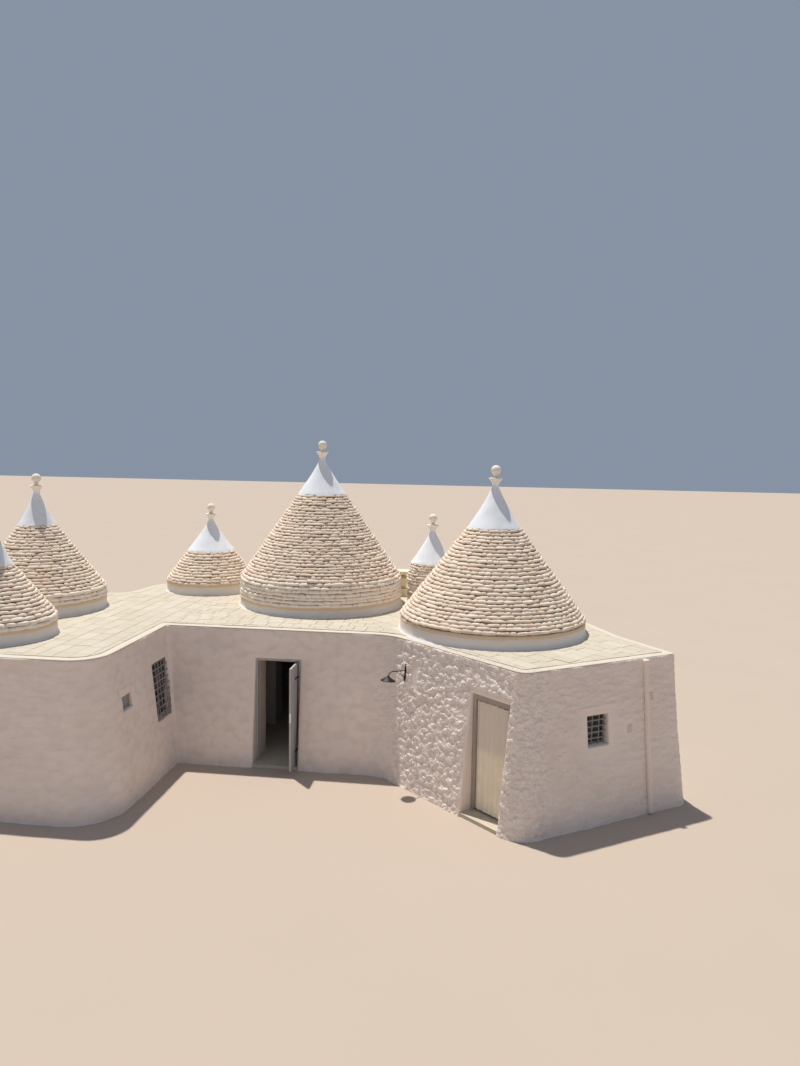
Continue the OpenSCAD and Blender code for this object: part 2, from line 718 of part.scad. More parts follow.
// Downpipe on the leaning wall face, with a small hopper under the roof edge
hopper_h = 110;
hopper_rim = 20;
pipe_foot = 15;
pipe_len = wall_top - hopper_h - 40;
module downpipe() color(whitewash) on_wall(front_corner, right_corner, pipe_at, 0)
    rotate([-lean, 0, 0]) translate([0, -pipe_r - seat, pipe_foot]) {
        cylinder(r = pipe_r, h = pipe_len + 1);
        translate([-pipe_r - hopper_rim, -pipe_r - hopper_rim / 2, pipe_len])
            cube([2 * (pipe_r + hopper_rim), 2 * pipe_r + (hopper_rim + seat) / 2, hopper_h]);
    }

// Wall lamp: a back plate, a straight arm, and a shallow cone shade hung on a stem
plate_w = 45;
plate_t = 8;
arm_r = 9;
arm_z = 30;
shade_top = 22;
shade_h = 75;
shade_t = 8;
shade_z = -120;
module wall_lamp() color(black_iron) on_wall(bend, front_corner, lamp_at, lamp_z + plate_h / 2)
    rotate([-lean, 0, 0]) translate([0, -seat, 0]) {
        translate([0, 0, -plate_h / 2]) wall_box(plate_w, -plate_t, 0, plate_h);
        translate([0, -plate_t - lamp_arm, 0]) {
            translate([0, 0, arm_z]) rotate([-90, 0, 0])
                cylinder(r = arm_r, h = lamp_arm + plate_t / 2);
            translate([0, 0, shade_z + shade_h - shade_t / 2])
                cylinder(r = arm_r, h = arm_z - shade_z - shade_h + shade_t / 2);
            translate([0, 0, shade_z]) difference() {
                cylinder(r1 = shade_r, r2 = shade_top, h = shade_h);
                translate([0, 0, -1]) cylinder(r1 = shade_r - shade_t, r2 = shade_top - shade_t,
                    h = shade_h - shade_t);
            }
        }
    }

// Vent plates beside the window and the downpipe
vent_t = 12;
module vent_plate(d, z) on_wall(front_corner, right_corner, d, z) rotate([-lean, 0, 0])
    wall_box(vent_w, -vent_t - seat, -seat, vent_h);
module vent_plates() color(whitewash) {
    vent_plate(upper_vent_at, upper_vent_z);
    vent_plate(lower_vent_at, lower_vent_z);
}

floor();
entrance_pier();
wing_front_wall();
wing_side_wall();
court_window_wall();
door_wall_left();
door_lintel();
door_wall_right();
curtain_door_lintel();
front_corner_wall();
window_wall();
right_corner_wall();
right_back_wall();
back_wall_right();
back_wall_left();
left_wall();
roof_right();
roof_centre();
roof_left();
main_dome();
main_stones();
main_cap();
right_dome();
right_stones();
right_cap();
small_dome();
small_stones();
small_cap();
rear_dome();
rear_stones();
rear_cap();
left_dome();
left_stones();
left_cap();
wing_dome();
wing_stones();
wing_cap();
door_frame();
door_leaf();
curtain_frame();
door_curtain();
front_window();
court_window();
window_panes();
hatch_shutter();
chimney();
downpipe();
wall_lamp();
vent_plates();
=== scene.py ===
"""Looks of the trullo house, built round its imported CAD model. All lengths are in metres."""

import math
from collections import namedtuple
from itertools import product

import bmesh
import bpy
import numpy as np
from mathutils import Matrix, Vector


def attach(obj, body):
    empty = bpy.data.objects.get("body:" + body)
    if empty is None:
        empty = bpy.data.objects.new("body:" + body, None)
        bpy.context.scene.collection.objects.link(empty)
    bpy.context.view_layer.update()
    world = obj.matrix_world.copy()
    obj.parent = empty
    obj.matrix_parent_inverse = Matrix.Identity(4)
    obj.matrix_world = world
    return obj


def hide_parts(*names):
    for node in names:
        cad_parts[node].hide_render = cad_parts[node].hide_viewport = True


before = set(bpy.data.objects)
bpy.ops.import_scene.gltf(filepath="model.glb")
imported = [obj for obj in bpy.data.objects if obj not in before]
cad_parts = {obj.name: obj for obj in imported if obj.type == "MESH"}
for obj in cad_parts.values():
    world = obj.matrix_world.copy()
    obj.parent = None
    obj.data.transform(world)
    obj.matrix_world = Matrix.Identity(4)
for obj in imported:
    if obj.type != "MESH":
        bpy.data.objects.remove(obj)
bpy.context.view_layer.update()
scene = bpy.context.scene
HOUSE, LEAF = "house", "door_leaf"

# Sizes, as in the part's source
WALL_H, ROOF_T, WALL_T, BATTER, FLOOR_T, EAVE = 2.56, 0.18, 0.6, 0.11, 0.06, 0.3
WALL_TOP = WALL_H - ROOF_T
COURT_D, SIDE_D, WING_D, BEND_X = 2.79, 2.33, 5.5, 1.92
FRONT, RIGHT = (4.23, -4.93), (6.83, -3.19)
GABLE_IN, GABLE_BACK, HOLLOW_OUT, HOLLOW_BACK, LEFT_BACK = 0.75, 1.11, 0.65, 0.13, 0.65
WING_END_R, WING_CORNER_R, BEND_R, FRONT_R, RIGHT_R, TIGHT_R, ROUND_R = (
    0.3, 0.55, 0.8, 0.22, 0.09, 0.4, 0.7)
DRUM_H, OVERHANG = 0.25, 0.015
STONES_Z = WALL_H + DRUM_H
Cone = namedtuple("Cone", "x y r foot stone_h cap_r cap_h courses")
CONES = {
    "main": Cone(0.0, 0.0, 1.72, 0.38, 2.13, 0.507, 0.75, 36),
    "right": Cone(3.715, -1.907, 1.72, 0.06, 1.69, 0.495, 0.77, 28),
    "small": Cone(2.3647, 0.5286, 0.53, 0.35, 0.65, 0.46, 0.68, 11),
    "rear": Cone(-2.893, 1.091, 1.0, 0.06, 0.69, 0.53, 0.70, 12),
    "left": Cone(-5.5, -1.76, 1.29, 0.19, 1.47, 0.35, 0.64, 25),
    "wing": Cone(-4.85, -4.18, 0.985, 0.12, 1.01, 0.30, 0.60, 17),
}
NECK_R, COLLAR_R, COLLAR_H, STEM_R, STEM_H, BALL_R = 0.056, 0.13, 0.145, 0.04, 0.06, 0.092
DOOR_LEFT, DOOR_W, DOOR_H, FRAME_W, FRAME_D = 0.6, 0.85, 2.02, 0.04, 0.07
DOOR_BACK, CURTAIN_BACK = 0.005, 0.025
LEAF_W, LEAF_T, LEAF_GAP, STRAP_T, EYE_H = 0.45, 0.04, 0.006, 0.006, 0.036
# the lower pin above the floor, the upper one below the frame's head, and an eye up its pin
LOW_PIN, TOP_PIN, EYE_UP = 0.25, 0.3, 0.013
CURTAIN_AT, CURTAIN_W = 2.125, 0.815
WINDOW_AT, WINDOW_W, WINDOW_H, WINDOW_SILL, WINDOW_BACK = 1.215, 0.42, 0.495, 1.25, 0.13
WINDOW_BAR, WINDOW_D = 0.032, 0.045
# distance from the inner corner, width, height and sill
COURT_WINDOW = (0.175, 0.62, 1.05, 0.95)
HATCH = (1.645, 0.345, 0.245, 1.53)
LAMP_AT, LAMP_Z, PLATE_W, PLATE_H = 0.48, 1.83, 0.045, 0.31
# each vent's distance from the front corner, and its height
VENTS = ((2.555, 1.84), (2.08, 1.375))
VENT_W, VENT_H = 0.085, 0.125
CHIMNEY_AT, CHIMNEY_W, BLOCK_H, SLOT_H, SLOT_IN = (1.5773, 1.2456), 0.36, 0.17, 0.08, 0.06
PIPE_AT, PIPE_R = 2.43, 0.042

# Camera and light
CAMERA_AT = (3.783, -16.93, 5.9)
CAMERA_TURN, CAMERA_PITCH, CAMERA_ROLL = np.radians([7, 5.915, 1]).tolist()
SENSOR, FOCAL_PX, PHOTO_H = 36, 801, 1066
SUN_UP, SUN_TURN, SUN_WIDTH = np.radians([71, 43, 1.2]).tolist()
SUN_COLOUR, SUN_POWER = (1.0, 0.97, 0.92), 3.8
SKY_COLOUR, SKY_POWER = (0.66, 0.78, 1.0, 1), 0.37


def look_frame(position, turn, pitch, roll):
    """The matrix of a camera that looks along +Y, turned left, tipped down and rolled"""
    ahead = Vector((-math.sin(turn), math.cos(turn), 0))
    side = Vector((math.cos(turn), math.sin(turn), 0))
    up = Vector((0, 0, 1))
    forward = ahead * math.cos(pitch) - up * math.sin(pitch)
    up = ahead * math.sin(pitch) + up * math.cos(pitch)
    x = side * math.cos(roll) + up * math.sin(roll)
    y = up * math.cos(roll) - side * math.sin(roll)
    m = Matrix((x, y, -forward)).transposed().to_4x4()
    m.translation = position
    return m


def add_camera():
    """The photo's camera. The photo is taller than wide, so the sensor's size is its height"""
    data = bpy.data.cameras.new("camera")
    data.sensor_width = SENSOR
    data.lens = SENSOR * FOCAL_PX / PHOTO_H
    data.clip_end = 500
    camera = bpy.data.objects.new("camera", data)
    scene.collection.objects.link(camera)
    camera.matrix_world = look_frame(CAMERA_AT, CAMERA_TURN, CAMERA_PITCH, CAMERA_ROLL)
    scene.camera = camera


def add_light():
    data = bpy.data.lights.new("key", "SUN")
    data.energy = SUN_POWER
    data.angle = SUN_WIDTH
    data.color = SUN_COLOUR
    key = bpy.data.objects.new("key", data)
    scene.collection.objects.link(key)
    level = math.cos(SUN_UP)
    to_light = Vector((-math.sin(SUN_TURN) * level, math.cos(SUN_TURN) * level, math.sin(SUN_UP)))
    key.rotation_euler = to_light.to_track_quat("Z", "Y").to_euler()
    world = bpy.data.worlds.new("world")
    scene.world = world
    world.use_nodes = True
    back = world.node_tree.nodes["Background"]
    back.inputs["Color"].default_value = SKY_COLOUR
    back.inputs["Strength"].default_value = SKY_POWER
    scene.view_settings.view_transform = "Standard"


# Materials
class Look:
    """A node material under construction"""

    def __init__(self, name, roughness):
        self.material = bpy.data.materials.new(name)
        self.material.use_nodes = True
        self.tree = self.material.node_tree
        self.shader = self.tree.nodes["Principled BSDF"]
        self.shader.inputs["Roughness"].default_value = roughness
        self.place = self.add("TexCoord").outputs["Object"]

    def add(self, kind, inputs=None, **settings):
        node = self.tree.nodes.new("ShaderNode" + kind)
        for key, value in settings.items():
            setattr(node, key, value)
        for key, value in (inputs or {}).items():
            self.feed(node.inputs[key], value)
        return node

    def feed(self, socket, value):
        if isinstance(value, bpy.types.NodeSocket):
            self.tree.links.new(value, socket)
        else:
            socket.default_value = (*value, 1) if socket.type == "RGBA" else value

    def stretched(self, scale):
        return self.add("Mapping", {"Vector": self.place, "Scale": scale}).outputs["Vector"]

    def noise(self, scale, detail=3, rough=0.55, vector=None):
        return self.add("TexNoise", {"Vector": vector or self.place, "Scale": scale,
                                     "Detail": detail, "Roughness": rough}).outputs["Fac"]

    def attribute(self, name):
        return self.add("Attribute", attribute_name=name).outputs["Fac"]

    def height(self):
        return self.add("SeparateXYZ", {"Vector": self.place}).outputs["Z"]

    def span(self, value, low, high, to_low=0.0, to_high=1.0):
        return self.add("MapRange", {"Value": value, "From Min": low, "From Max": high,
                                     "To Min": to_low, "To Max": to_high}).outputs["Result"]

    def times(self, a, b):
        return self.add("Math", {0: a, 1: b}, operation="MULTIPLY").outputs[0]

    def mix(self, share, a, b):
        return self.add("Mix", {"Factor": share, "A": a, "B": b}, data_type="RGBA").outputs["Result"]

    def patches(self, tone, colour, scale, detail, low=0, high=1, most=1.0, rough=0.55):
        """The tone with patches of a colour: none where a noise is at low, most of it at high"""
        return self.mix(self.span(self.noise(scale, detail, rough), low, high, 0, most), tone, colour)

    def colour(self, value):
        self.feed(self.shader.inputs["Base Color"], value)

    def bump(self, height, distance, strength, after=None):
        inputs = {"Height": height, "Distance": distance, "Strength": strength}
        node = self.add("Bump", inputs | ({"Normal": after} if after else {}))
        self.feed(self.shader.inputs["Normal"], node.outputs["Normal"])
        return node.outputs["Normal"]

    def grain(self, *layers):
        """Bumps over each other, each with its noise's scale, detail and roughness"""
        normal = None
        for scale, detail, rough, distance, strength in layers:
            normal = self.bump(self.noise(scale, detail, rough), distance, strength, normal)
        return normal


def plaster_look(name, pale, dull, grain, cream=((0.80, 0.71, 0.58), (0.68, 0.585, 0.46))):
    """Lime plaster, made paler where rough-cast as painted sunlight, with painted shade in its
    hollows, a painted darker tan on its sunlit flat top, and stained at its foot
    """
    look = Look(name, 0.92)
    tone = look.patches(pale, dull, 0.9, 4, 0.35, 0.7)
    streaks = look.noise(2.2, 5, 0.6, look.stretched((2.2, 2.2, 0.35)))
    tone = look.mix(look.span(streaks, 0.42, 0.72, 0, 0.35), tone, dull)
    cast = look.attribute("rough")
    # painted light: the rough-cast share makes the plaster paler, standing in for the grazing sun on
    # the rough-cast wall; the same layer also sets the bump's strength
    tone = look.mix(look.span(cast, 0.5, 1.0), tone, (1.0, 0.88, 0.78))
    stain = (dull[0] * 0.86, dull[1] * 0.81, dull[2] * 0.74)
    foot = look.span(look.height(), 0.0, 0.28, 0.55, 0.0)
    tone = look.mix(look.times(foot, look.span(look.noise(5.0, 4), 0.3, 0.7)), tone, stain)
    # painted shade: the plaster is darkened where its relief is low, as shade in its hollows
    deep = (dull[0] * 0.80, dull[1] * 0.79, dull[2] * 0.79)
    tone = look.mix(look.times(look.attribute("hollow"), 0.75), tone, deep)
    # painted shade: the flat top, full in the sun, gets a darker tan than the whitewash of the walls
    # below, to hold down its light
    tone = look.mix(look.attribute("rim"), tone, (0.69, 0.62, 0.51))
    look.colour(look.mix(look.attribute("cream"), tone, look.mix(look.noise(14, 4), *cream)))
    fine = look.bump(look.noise(95, 3, 0.6), 0.0035, 0.55 * grain)
    trowel = look.noise(16, 4, 0.55, look.stretched((1, 1, 0.7)))
    fine = look.bump(trowel, 0.012, 0.5 * grain, fine)
    look.bump(look.noise(19, 2, 0.5), 0.06, look.times(cast, 0.95), fine)
    return look.material


def stone_look():
    look = Look("dry_stone", 0.93)
    tone = look.mix(look.attribute("tone"), (0.78, 0.625, 0.475), (0.93, 0.80, 0.64))
    tone = look.patches(tone, (0.87, 0.68, 0.545), 2.4, 3, 0.45, 0.7, 0.75)
    tone = look.patches(tone, (0.96, 0.85, 0.70), 11, 4, 0.5, 0.75, 0.5)
    tone = look.patches(tone, (0.68, 0.54, 0.41), 60, 4, 0.5, 0.8, 0.5, 0.65)
    # painted light: stones made paler on the upright foot courses, which stand in shade, as though
    # sunlit; the small cone's stones are made paler too
    tone = look.mix(look.attribute("pale"), tone, (0.98, 0.87, 0.74))
    # painted shade: stones turn warm brown in their undercuts and at their ends, where shade falls
    look.colour(look.mix(look.attribute("dark"), tone, (0.58, 0.425, 0.30)))
    look.grain((150, 3, 0.65, 0.004, 0.6), (38, 4, 0.6, 0.012, 0.6))
    return look.material


def paving_look():
    look = Look("roof_paving", 0.85)
    tone = look.mix(look.attribute("tone"), (0.57, 0.50, 0.385), (0.64, 0.57, 0.455))
    tone = look.patches(tone, (0.65, 0.585, 0.475), 9, 5, 0.45, 0.75, 0.6, 0.6)
    look.colour(look.patches(tone, (0.50, 0.44, 0.35), 60, 3, 0.62, 0.8, 0.5))
    look.grain((180, 3, 0.6, 0.003, 0.5), (30, 4, 0.55, 0.008, 0.4))
    return look.material


def wood_look(name, pale, dark):
    look = Look(name, 0.7)
    grain = look.noise(3.0, 8, 0.65, look.stretched((14, 14, 1.1)))
    tone = look.mix(look.span(grain, 0.35, 0.68), pale, dark)
    look.colour(look.patches(tone, (0.50, 0.47, 0.43), 3.5, 4, 0.5, 0.8, 0.5))
    look.bump(grain, 0.003, 0.6)
    return look.material


def tufa_look():
    look = Look("tufa", 0.95)
    tone = look.patches((0.98, 0.90, 0.66), (0.94, 0.83, 0.56), 6, 4, 0.35, 0.7)
    tone = look.patches(tone, (0.80, 0.66, 0.40), 90, 3, 0.55, 0.75, 0.6)
    # painted shade: the set-back core between the blocks turns warm brown, for the shade in its recess
    look.colour(look.mix(look.attribute("dark"), tone, (0.60, 0.36, 0.17)))
    look.grain((120, 3, 0.7, 0.005, 0.8), (25, 4, 0.55, 0.012, 0.5))
    return look.material


def cloth_look():
    """Plain cloth, duller in its upper part"""
    look = Look("curtain_cloth", 0.95)
    body = look.patches((0.98, 0.87, 0.68), (0.92, 0.80, 0.61), 5, 4, 0.35, 0.7)
    look.colour(look.mix(look.span(look.height(), 1.04, 1.17), body, (0.80, 0.70, 0.585)))
    look.shader.inputs["Sheen Weight"].default_value = 0.15
    look.bump(look.noise(320, 2, 0.5, look.stretched((1, 1, 0.6))), 0.0012, 0.5)
    return look.material


def mottled_look(name, roughness, tones, spots, grain=None, metallic=0.0):
    """Two colours, mixed by the noise that spots gives, and a grain"""
    look = Look(name, roughness)
    look.colour(look.patches(*tones, *spots))
    look.shader.inputs["Metallic"].default_value = metallic
    if grain:
        look.grain(grain)
    return look.material


WHITE = plaster_look("whitewash", (0.945, 0.815, 0.72), (0.90, 0.765, 0.665), 1.0)
BRIGHT = plaster_look("cap_plaster", (0.90, 0.92, 0.945), (0.85, 0.87, 0.895), 0.22,
                      ((0.97, 0.89, 0.76), (0.88, 0.79, 0.66)))
# painted shade: the drums' plaster is a greyer copy of the whitewash, for the shade on their lower
# part; any other CAD node left in sight takes it too
DRUM = plaster_look("drum_plaster", (0.82, 0.775, 0.735), (0.76, 0.715, 0.675), 0.6,
                    ((0.78, 0.60, 0.415), (0.67, 0.505, 0.34)))
# painted shade: the inner faces and entrance pier take a darker copy of the whitewash, standing in for
# the shade inside the house
INSIDE = plaster_look("inner_plaster", (0.56, 0.53, 0.49), (0.48, 0.45, 0.41), 0.6)
STONE = stone_look()
PAVING = paving_look()
GREY_WOOD = wood_look("grey_wood", (0.36, 0.35, 0.34), (0.25, 0.24, 0.235))
PALE_WOOD = wood_look("door_frame_wood", (0.48, 0.46, 0.44), (0.36, 0.345, 0.33))
BROWN_WOOD = wood_look("brown_wood", (0.33, 0.285, 0.25), (0.21, 0.175, 0.15))
TAUPE_WOOD = wood_look("taupe_wood", (0.46, 0.395, 0.335), (0.33, 0.28, 0.24))
LEAF_WOOD = wood_look("leaf_wood", (0.47, 0.46, 0.455), (0.36, 0.35, 0.345))
TUFA = tufa_look()
CLOTH = cloth_look()
MORTAR = mottled_look("roof_mortar", 0.95, ((0.56, 0.475, 0.365), (0.62, 0.53, 0.415)), (12, 4),
                      (80, 4, 0.55, 0.006, 0.7))
EARTH = mottled_look("earth_bedding", 0.98, ((0.42, 0.29, 0.19), (0.54, 0.39, 0.27)), (20, 4),
                     (90, 4, 0.55, 0.01, 0.8))
IRON = mottled_look("black_iron", 0.5, ((0.018, 0.017, 0.017), (0.075, 0.055, 0.045)),
                    (40, 4, 0.5, 0.75), (200, 3, 0.55, 0.0008, 0.6), 0.6)
PALE_IRON = mottled_look("pale_iron", 0.6, ((0.32, 0.31, 0.305), (0.19, 0.175, 0.165)),
                         (60, 4, 0.45, 0.7), (200, 3, 0.55, 0.0008, 0.6))
# painted shade: the pane is an opaque near-black sheet standing in for the dim room behind the glass
GLASS = mottled_look("glass_painted_dark", 0.12, ((0.015, 0.018, 0.02), (0.05, 0.055, 0.06)), (2.5, 3),
                     (3, 2, 0.55, 0.002, 0.2))
STUDIO = mottled_look("studio_floor", 0.95, ((0.51, 0.415, 0.33), (0.54, 0.44, 0.355)), (0.4, 2))


def add_stage():
    mesh = bpy.data.meshes.new("studio_floor")
    s, z = 120, -0.002
    mesh.from_pydata([(-s, -s, z), (s, -s, z), (s, s, z), (-s, s, z)], [], [(0, 1, 2, 3)])
    mesh.materials.append(STUDIO)
    floor = bpy.data.objects.new("studio_floor", mesh)
    scene.collection.objects.link(floor)


# Helpers
def scrambled(*numbers):
    """An even random number from 0 to 65535 for each set of whole numbers"""
    n = 0
    for number, prime in zip(numbers, (73856093, 19349663, 83492791, 2654435)):
        n = n ^ number * prime
    for shift, prime in ((13, 1274126177), (11, 668265263)):
        n = (n ^ (n >> shift)) * prime & 0x7FFFFFFF
    return n >> 8 & 0xFFFF


def lumps(points, size, seed=0):
    """Smooth noise from -1 to 1 at the points; size is a number or one for each axis"""
    q = np.asarray(points, float) / np.asarray(size, float) + 13.7 * seed + 0.31
    cell = np.floor(q).astype(np.int64)
    f = q - cell
    f = f * f * (3 - 2 * f)
    total = 0
    for corner in range(8):
        d = np.array([corner & 1, corner >> 1 & 1, corner >> 2])
        c = cell + d
        value = scrambled(c[..., 0], c[..., 1], c[..., 2], seed) / 32767.5 - 1
        total = total + value * np.prod(np.where(d == 1, f, 1 - f), axis=-1)
    return total


def build(name, points, faces, material, slot, body=HOUSE, replaces=(), smooth=True, sharp=None,
          **layers):
    """A piece of the scene; each layer is one number for every point, read by the material"""
    mesh = bpy.data.meshes.new(name)
    mesh.from_pydata([tuple(p) for p in np.asarray(points, float)], [], faces)
    for key, values in layers.items():
        layer = mesh.attributes.new(key, "FLOAT", "POINT")
        layer.data.foreach_set("value", np.asarray(values, np.float32))
    mesh.polygons.foreach_set("use_smooth", [smooth] * len(mesh.polygons))
    if sharp:
        mesh.set_sharp_from_angle(angle=math.radians(sharp))
    mesh.materials.append(material)
    piece = bpy.data.objects.new(name, mesh)
    scene.collection.objects.link(piece)
    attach(piece, body)
    if replaces:
        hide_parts(*replaces)
    return piece


def quads(rows, cols, wrap=False):
    """Faces of a grid of points kept row by row"""
    return [(i * cols + j, i * cols + (j + 1) % cols, (i + 1) * cols + (j + 1) % cols,
             (i + 1) * cols + j)
            for i in range(rows - 1) for j in range(cols if wrap else cols - 1)]


def soft_box(low, high, edge):
    """A box with bevelled edges. A key counts 0 to 3 along each axis, through the edges' lines"""
    steps = [(a, a + edge, b - edge, b) for a, b in zip(low, high)]
    ends = (0, 3)
    keys = [key for key in product(range(4), repeat=3) if sum(v in ends for v in key) == 1]
    index = {key: number for number, key in enumerate(keys)}
    faces = []

    def face(ring, outward):
        ring = [index[tuple(key)] for key in ring]
        faces.append(tuple(ring if outward else ring[::-1]))

    def key(axis, values):
        """A key with the first value on the axis and the others on the other two"""
        rest = list(values[1:])
        return [values[0] if a == axis else rest.pop(0) for a in range(3)]

    for axis, side in product(range(3), ends):
        ring = [key(axis, (side, p, q)) for p, q in ((1, 1), (2, 1), (2, 2), (1, 2))]
        face(ring, (side == 3) == (axis != 1))
    for axis, a, b in product(range(3), ends, ends):
        near_a, near_b = (2 if v else 1 for v in (a, b))
        ring = [key(axis, values) for values in
                ((1, a, near_b), (2, a, near_b), (2, near_a, b), (1, near_a, b))]
        face(ring, ((a == 3) == (b == 3)) == (axis != 1))
    for corner in product(ends, repeat=3):
        near = [2 if v else 1 for v in corner]
        ring = [[corner[a] if a == axis else near[a] for a in range(3)] for axis in range(3)]
        face(ring, sum(v == 3 for v in corner) % 2 == 1)
    return np.array([[steps[a][v] for a, v in enumerate(key)] for key in keys]), faces


def tube(path, radius, sides):
    """A round bar along a path, with flat ends"""
    path = np.asarray(path, float)
    n = len(path)
    ahead = np.gradient(path, axis=0)
    ahead /= np.linalg.norm(ahead, axis=1, keepdims=True)
    up = np.array([0.13, 0.21, 0.97])
    points = []
    for p, t in zip(path, ahead):
        a = np.cross(up if abs(t @ up) < 0.95 else np.array([1.0, 0, 0]), t)
        a /= np.linalg.norm(a)
        b = np.cross(t, a)
        for w in np.arange(sides) * 2 * math.pi / sides:
            points.append(p + radius * (math.cos(w) * a + math.sin(w) * b))
    faces = quads(n, sides, wrap=True)
    faces += [tuple(range(sides))[::-1], tuple((n - 1) * sides + k for k in range(sides))]
    return np.array(points), faces


def lathe(profile, steps, centre=(0, 0), wobble=None):
    """A turned surface from (r, z) pairs"""
    angle = np.arange(steps) * 2 * math.pi / steps
    points = np.array([(r * math.cos(a), r * math.sin(a), z) for r, z in profile for a in angle])
    if wobble is not None:
        points = wobble(points)
    return points + np.array([*centre, 0]), quads(len(profile), steps, wrap=True)


class Heap:
    """Points and faces gathered from several solids, each moved to its place by at"""

    def __init__(self, at=None):
        self.points, self.faces, self.layers, self.count, self.at = [], [], {}, 0, at

    def put(self, points, faces, **layers):
        points = np.asarray(points, float)
        self.points.append(self.at(points) if self.at else points)
        self.faces += [tuple(i + self.count for i in f) for f in faces]
        for key, value in layers.items():
            self.layers.setdefault(key, []).append(np.broadcast_to(value, len(points)))
        self.count += len(points)

    def boxes(self, boxes, edge):
        for low, high in boxes:
            self.put(*soft_box(low, high, edge))

    def build(self, name, material, slot, **more):
        layers = {k: np.concatenate(v) for k, v in self.layers.items()}
        return build(name, np.concatenate(self.points), self.faces, material, slot, **more,
                     **layers)


# Plan of the walls
def around(cone, angle, share):
    """A place round a drum, at a share of its terrace's edge"""
    x, y, r = CONES[cone][:3]
    w = math.radians(angle)
    return (x + (r + EAVE) * share * math.cos(w), y + (r + EAVE) * share * math.sin(w))


wing, rear = CONES["wing"], CONES["rear"]
WING_LEFT = wing.x - wing.r - EAVE
# corners of the outer wall face at its top, anticlockwise, with their radii
PLAN = [
    ((WING_LEFT, -WING_D), WING_END_R), ((-SIDE_D, -WING_D), WING_CORNER_R),
    ((-SIDE_D, -COURT_D), 0.0), ((BEND_X, -COURT_D), BEND_R), (FRONT, FRONT_R),
    (RIGHT, RIGHT_R), ((RIGHT[0] - GABLE_IN, RIGHT[1] + GABLE_BACK), TIGHT_R),
    (around("right", 28, 1.04), TIGHT_R), (around("right", 75, 1.13), ROUND_R),
    (around("small", 37, 1.26), ROUND_R), (around("main", 54, 1.16), ROUND_R),
    (around("main", 116, 1.24), ROUND_R), (around("rear", 110, 1.15), ROUND_R),
    (around("rear", 170, 1.15), ROUND_R), ((rear.x - rear.r - HOLLOW_OUT, HOLLOW_BACK), TIGHT_R),
    (around("left", 100, 1.15), ROUND_R), (around("left", 150, 1.15), ROUND_R),
    (around("left", 205, 1.15), ROUND_R), ((WING_LEFT, wing.y + LEFT_BACK), TIGHT_R),
]
CORNERS = np.array([p for p, _ in PLAN])
RADII = [r for _, r in PLAN]
COUNT = len(PLAN)
# walls by the plan corner that they start from
WING_FRONT, SIDE, COURT, SLANT, GABLE, BACK = range(6)


def unit(v):
    v = np.asarray(v, float)
    return v / np.linalg.norm(v)


def wall_run(i):
    return CORNERS[(i + 1) % COUNT] - CORNERS[i]


def wall_dir(i):
    return unit(wall_run(i))


def wall_out(i):
    u = wall_dir(i)
    return np.array([u[1], -u[0]])


def wall_len(i):
    return float(np.linalg.norm(wall_run(i)))


def side_opening(at, width, height, sill):
    """An opening in the wing's side wall, at a distance from the inner corner"""
    start = wall_len(SIDE) - at - width
    return (SIDE, start, start + width, sill, sill + height)


# each opening's wall, start, end, sill and head
OPENINGS = {
    "hatch": side_opening(*HATCH),
    "court_window": side_opening(*COURT_WINDOW),
    "door": (COURT, SIDE_D - DOOR_LEFT, SIDE_D - DOOR_LEFT + DOOR_W, 0.0, DOOR_H),
    "curtain_door": (SLANT, CURTAIN_AT, CURTAIN_AT + CURTAIN_W, 0.0, DOOR_H),
    "window": (GABLE, WINDOW_AT, WINDOW_AT + WINDOW_W, WINDOW_SILL, WINDOW_SILL + WINDOW_H),
}
# the same for what hangs on the walls, where the plaster is kept flat
FITTINGS = [(SLANT, LAMP_AT - PLATE_W / 2, LAMP_AT + PLATE_W / 2, LAMP_Z, LAMP_Z + PLATE_H)]
FITTINGS += [(GABLE, s - VENT_W / 2, s + VENT_W / 2, z, z + VENT_H) for s, z in VENTS]


def lean(z):
    """How far the outer wall face stands out of the plan at a height"""
    return BATTER * np.maximum(0.0, WALL_TOP - np.asarray(z, float))


def spot(wall, s, z, out, tilted=False):
    """Moves points given as x along a wall, y into it and z up; tilted, they lean as its face"""
    u, n = wall_dir(wall), wall_out(wall)
    tilt = math.atan(BATTER) if tilted else 0.0
    turn = np.array([[math.cos(tilt), -math.sin(tilt)], [math.sin(tilt), math.cos(tilt)]])

    def at(points):
        yz = points[:, 1:3] @ turn
        xy = CORNERS[wall] + np.outer(points[:, 0] + s, u) + np.outer(out - yz[:, 0], n)
        return np.column_stack([xy, yz[:, 1] + z])

    return at


def corner_frame(i):
    """Directions before and after a corner, its side, half its turn, its outward direction"""
    u, v = wall_dir(i - 1), wall_dir(i)
    left = 1 if u[0] * v[1] - u[1] * v[0] > 0 else -1
    half = math.acos(max(-1, min(1, u @ v))) / 2
    return u, v, left, half, unit([u[1] + v[1], -u[0] - v[0]])


def corner_radius(i, left, d):
    least = 0.02 if left > 0 else 0.07
    return np.maximum(RADII[i] + left * d if RADII[i] else 0 * d, least)


def arc(i, d, k, steps):
    """Points of corner i of the plan moved out by d (an array), and their outward direction"""
    d = np.atleast_1d(np.asarray(d, float))
    u, _, left, half, n = corner_frame(i)
    r = corner_radius(i, left, d)
    p = CORNERS[i] + np.outer(d, n) / math.cos(half)
    centre = p - np.outer(r * math.tan(half), u) + left * np.outer(r, [-u[1], u[0]])
    t = -left * (math.pi / 2 - 2 * half * k / steps)
    e = np.array([u[0] * math.cos(t) - u[1] * math.sin(t), u[0] * math.sin(t) + u[1] * math.cos(t)])
    return centre + np.outer(r, e), left * e


def corner_cut(i, d):
    """How much of a wall's length its rounded corner takes, at a distance out of the plan"""
    _, _, left, half, _ = corner_frame(i)
    return (corner_radius(i, left, d) - left * d) * math.tan(half)


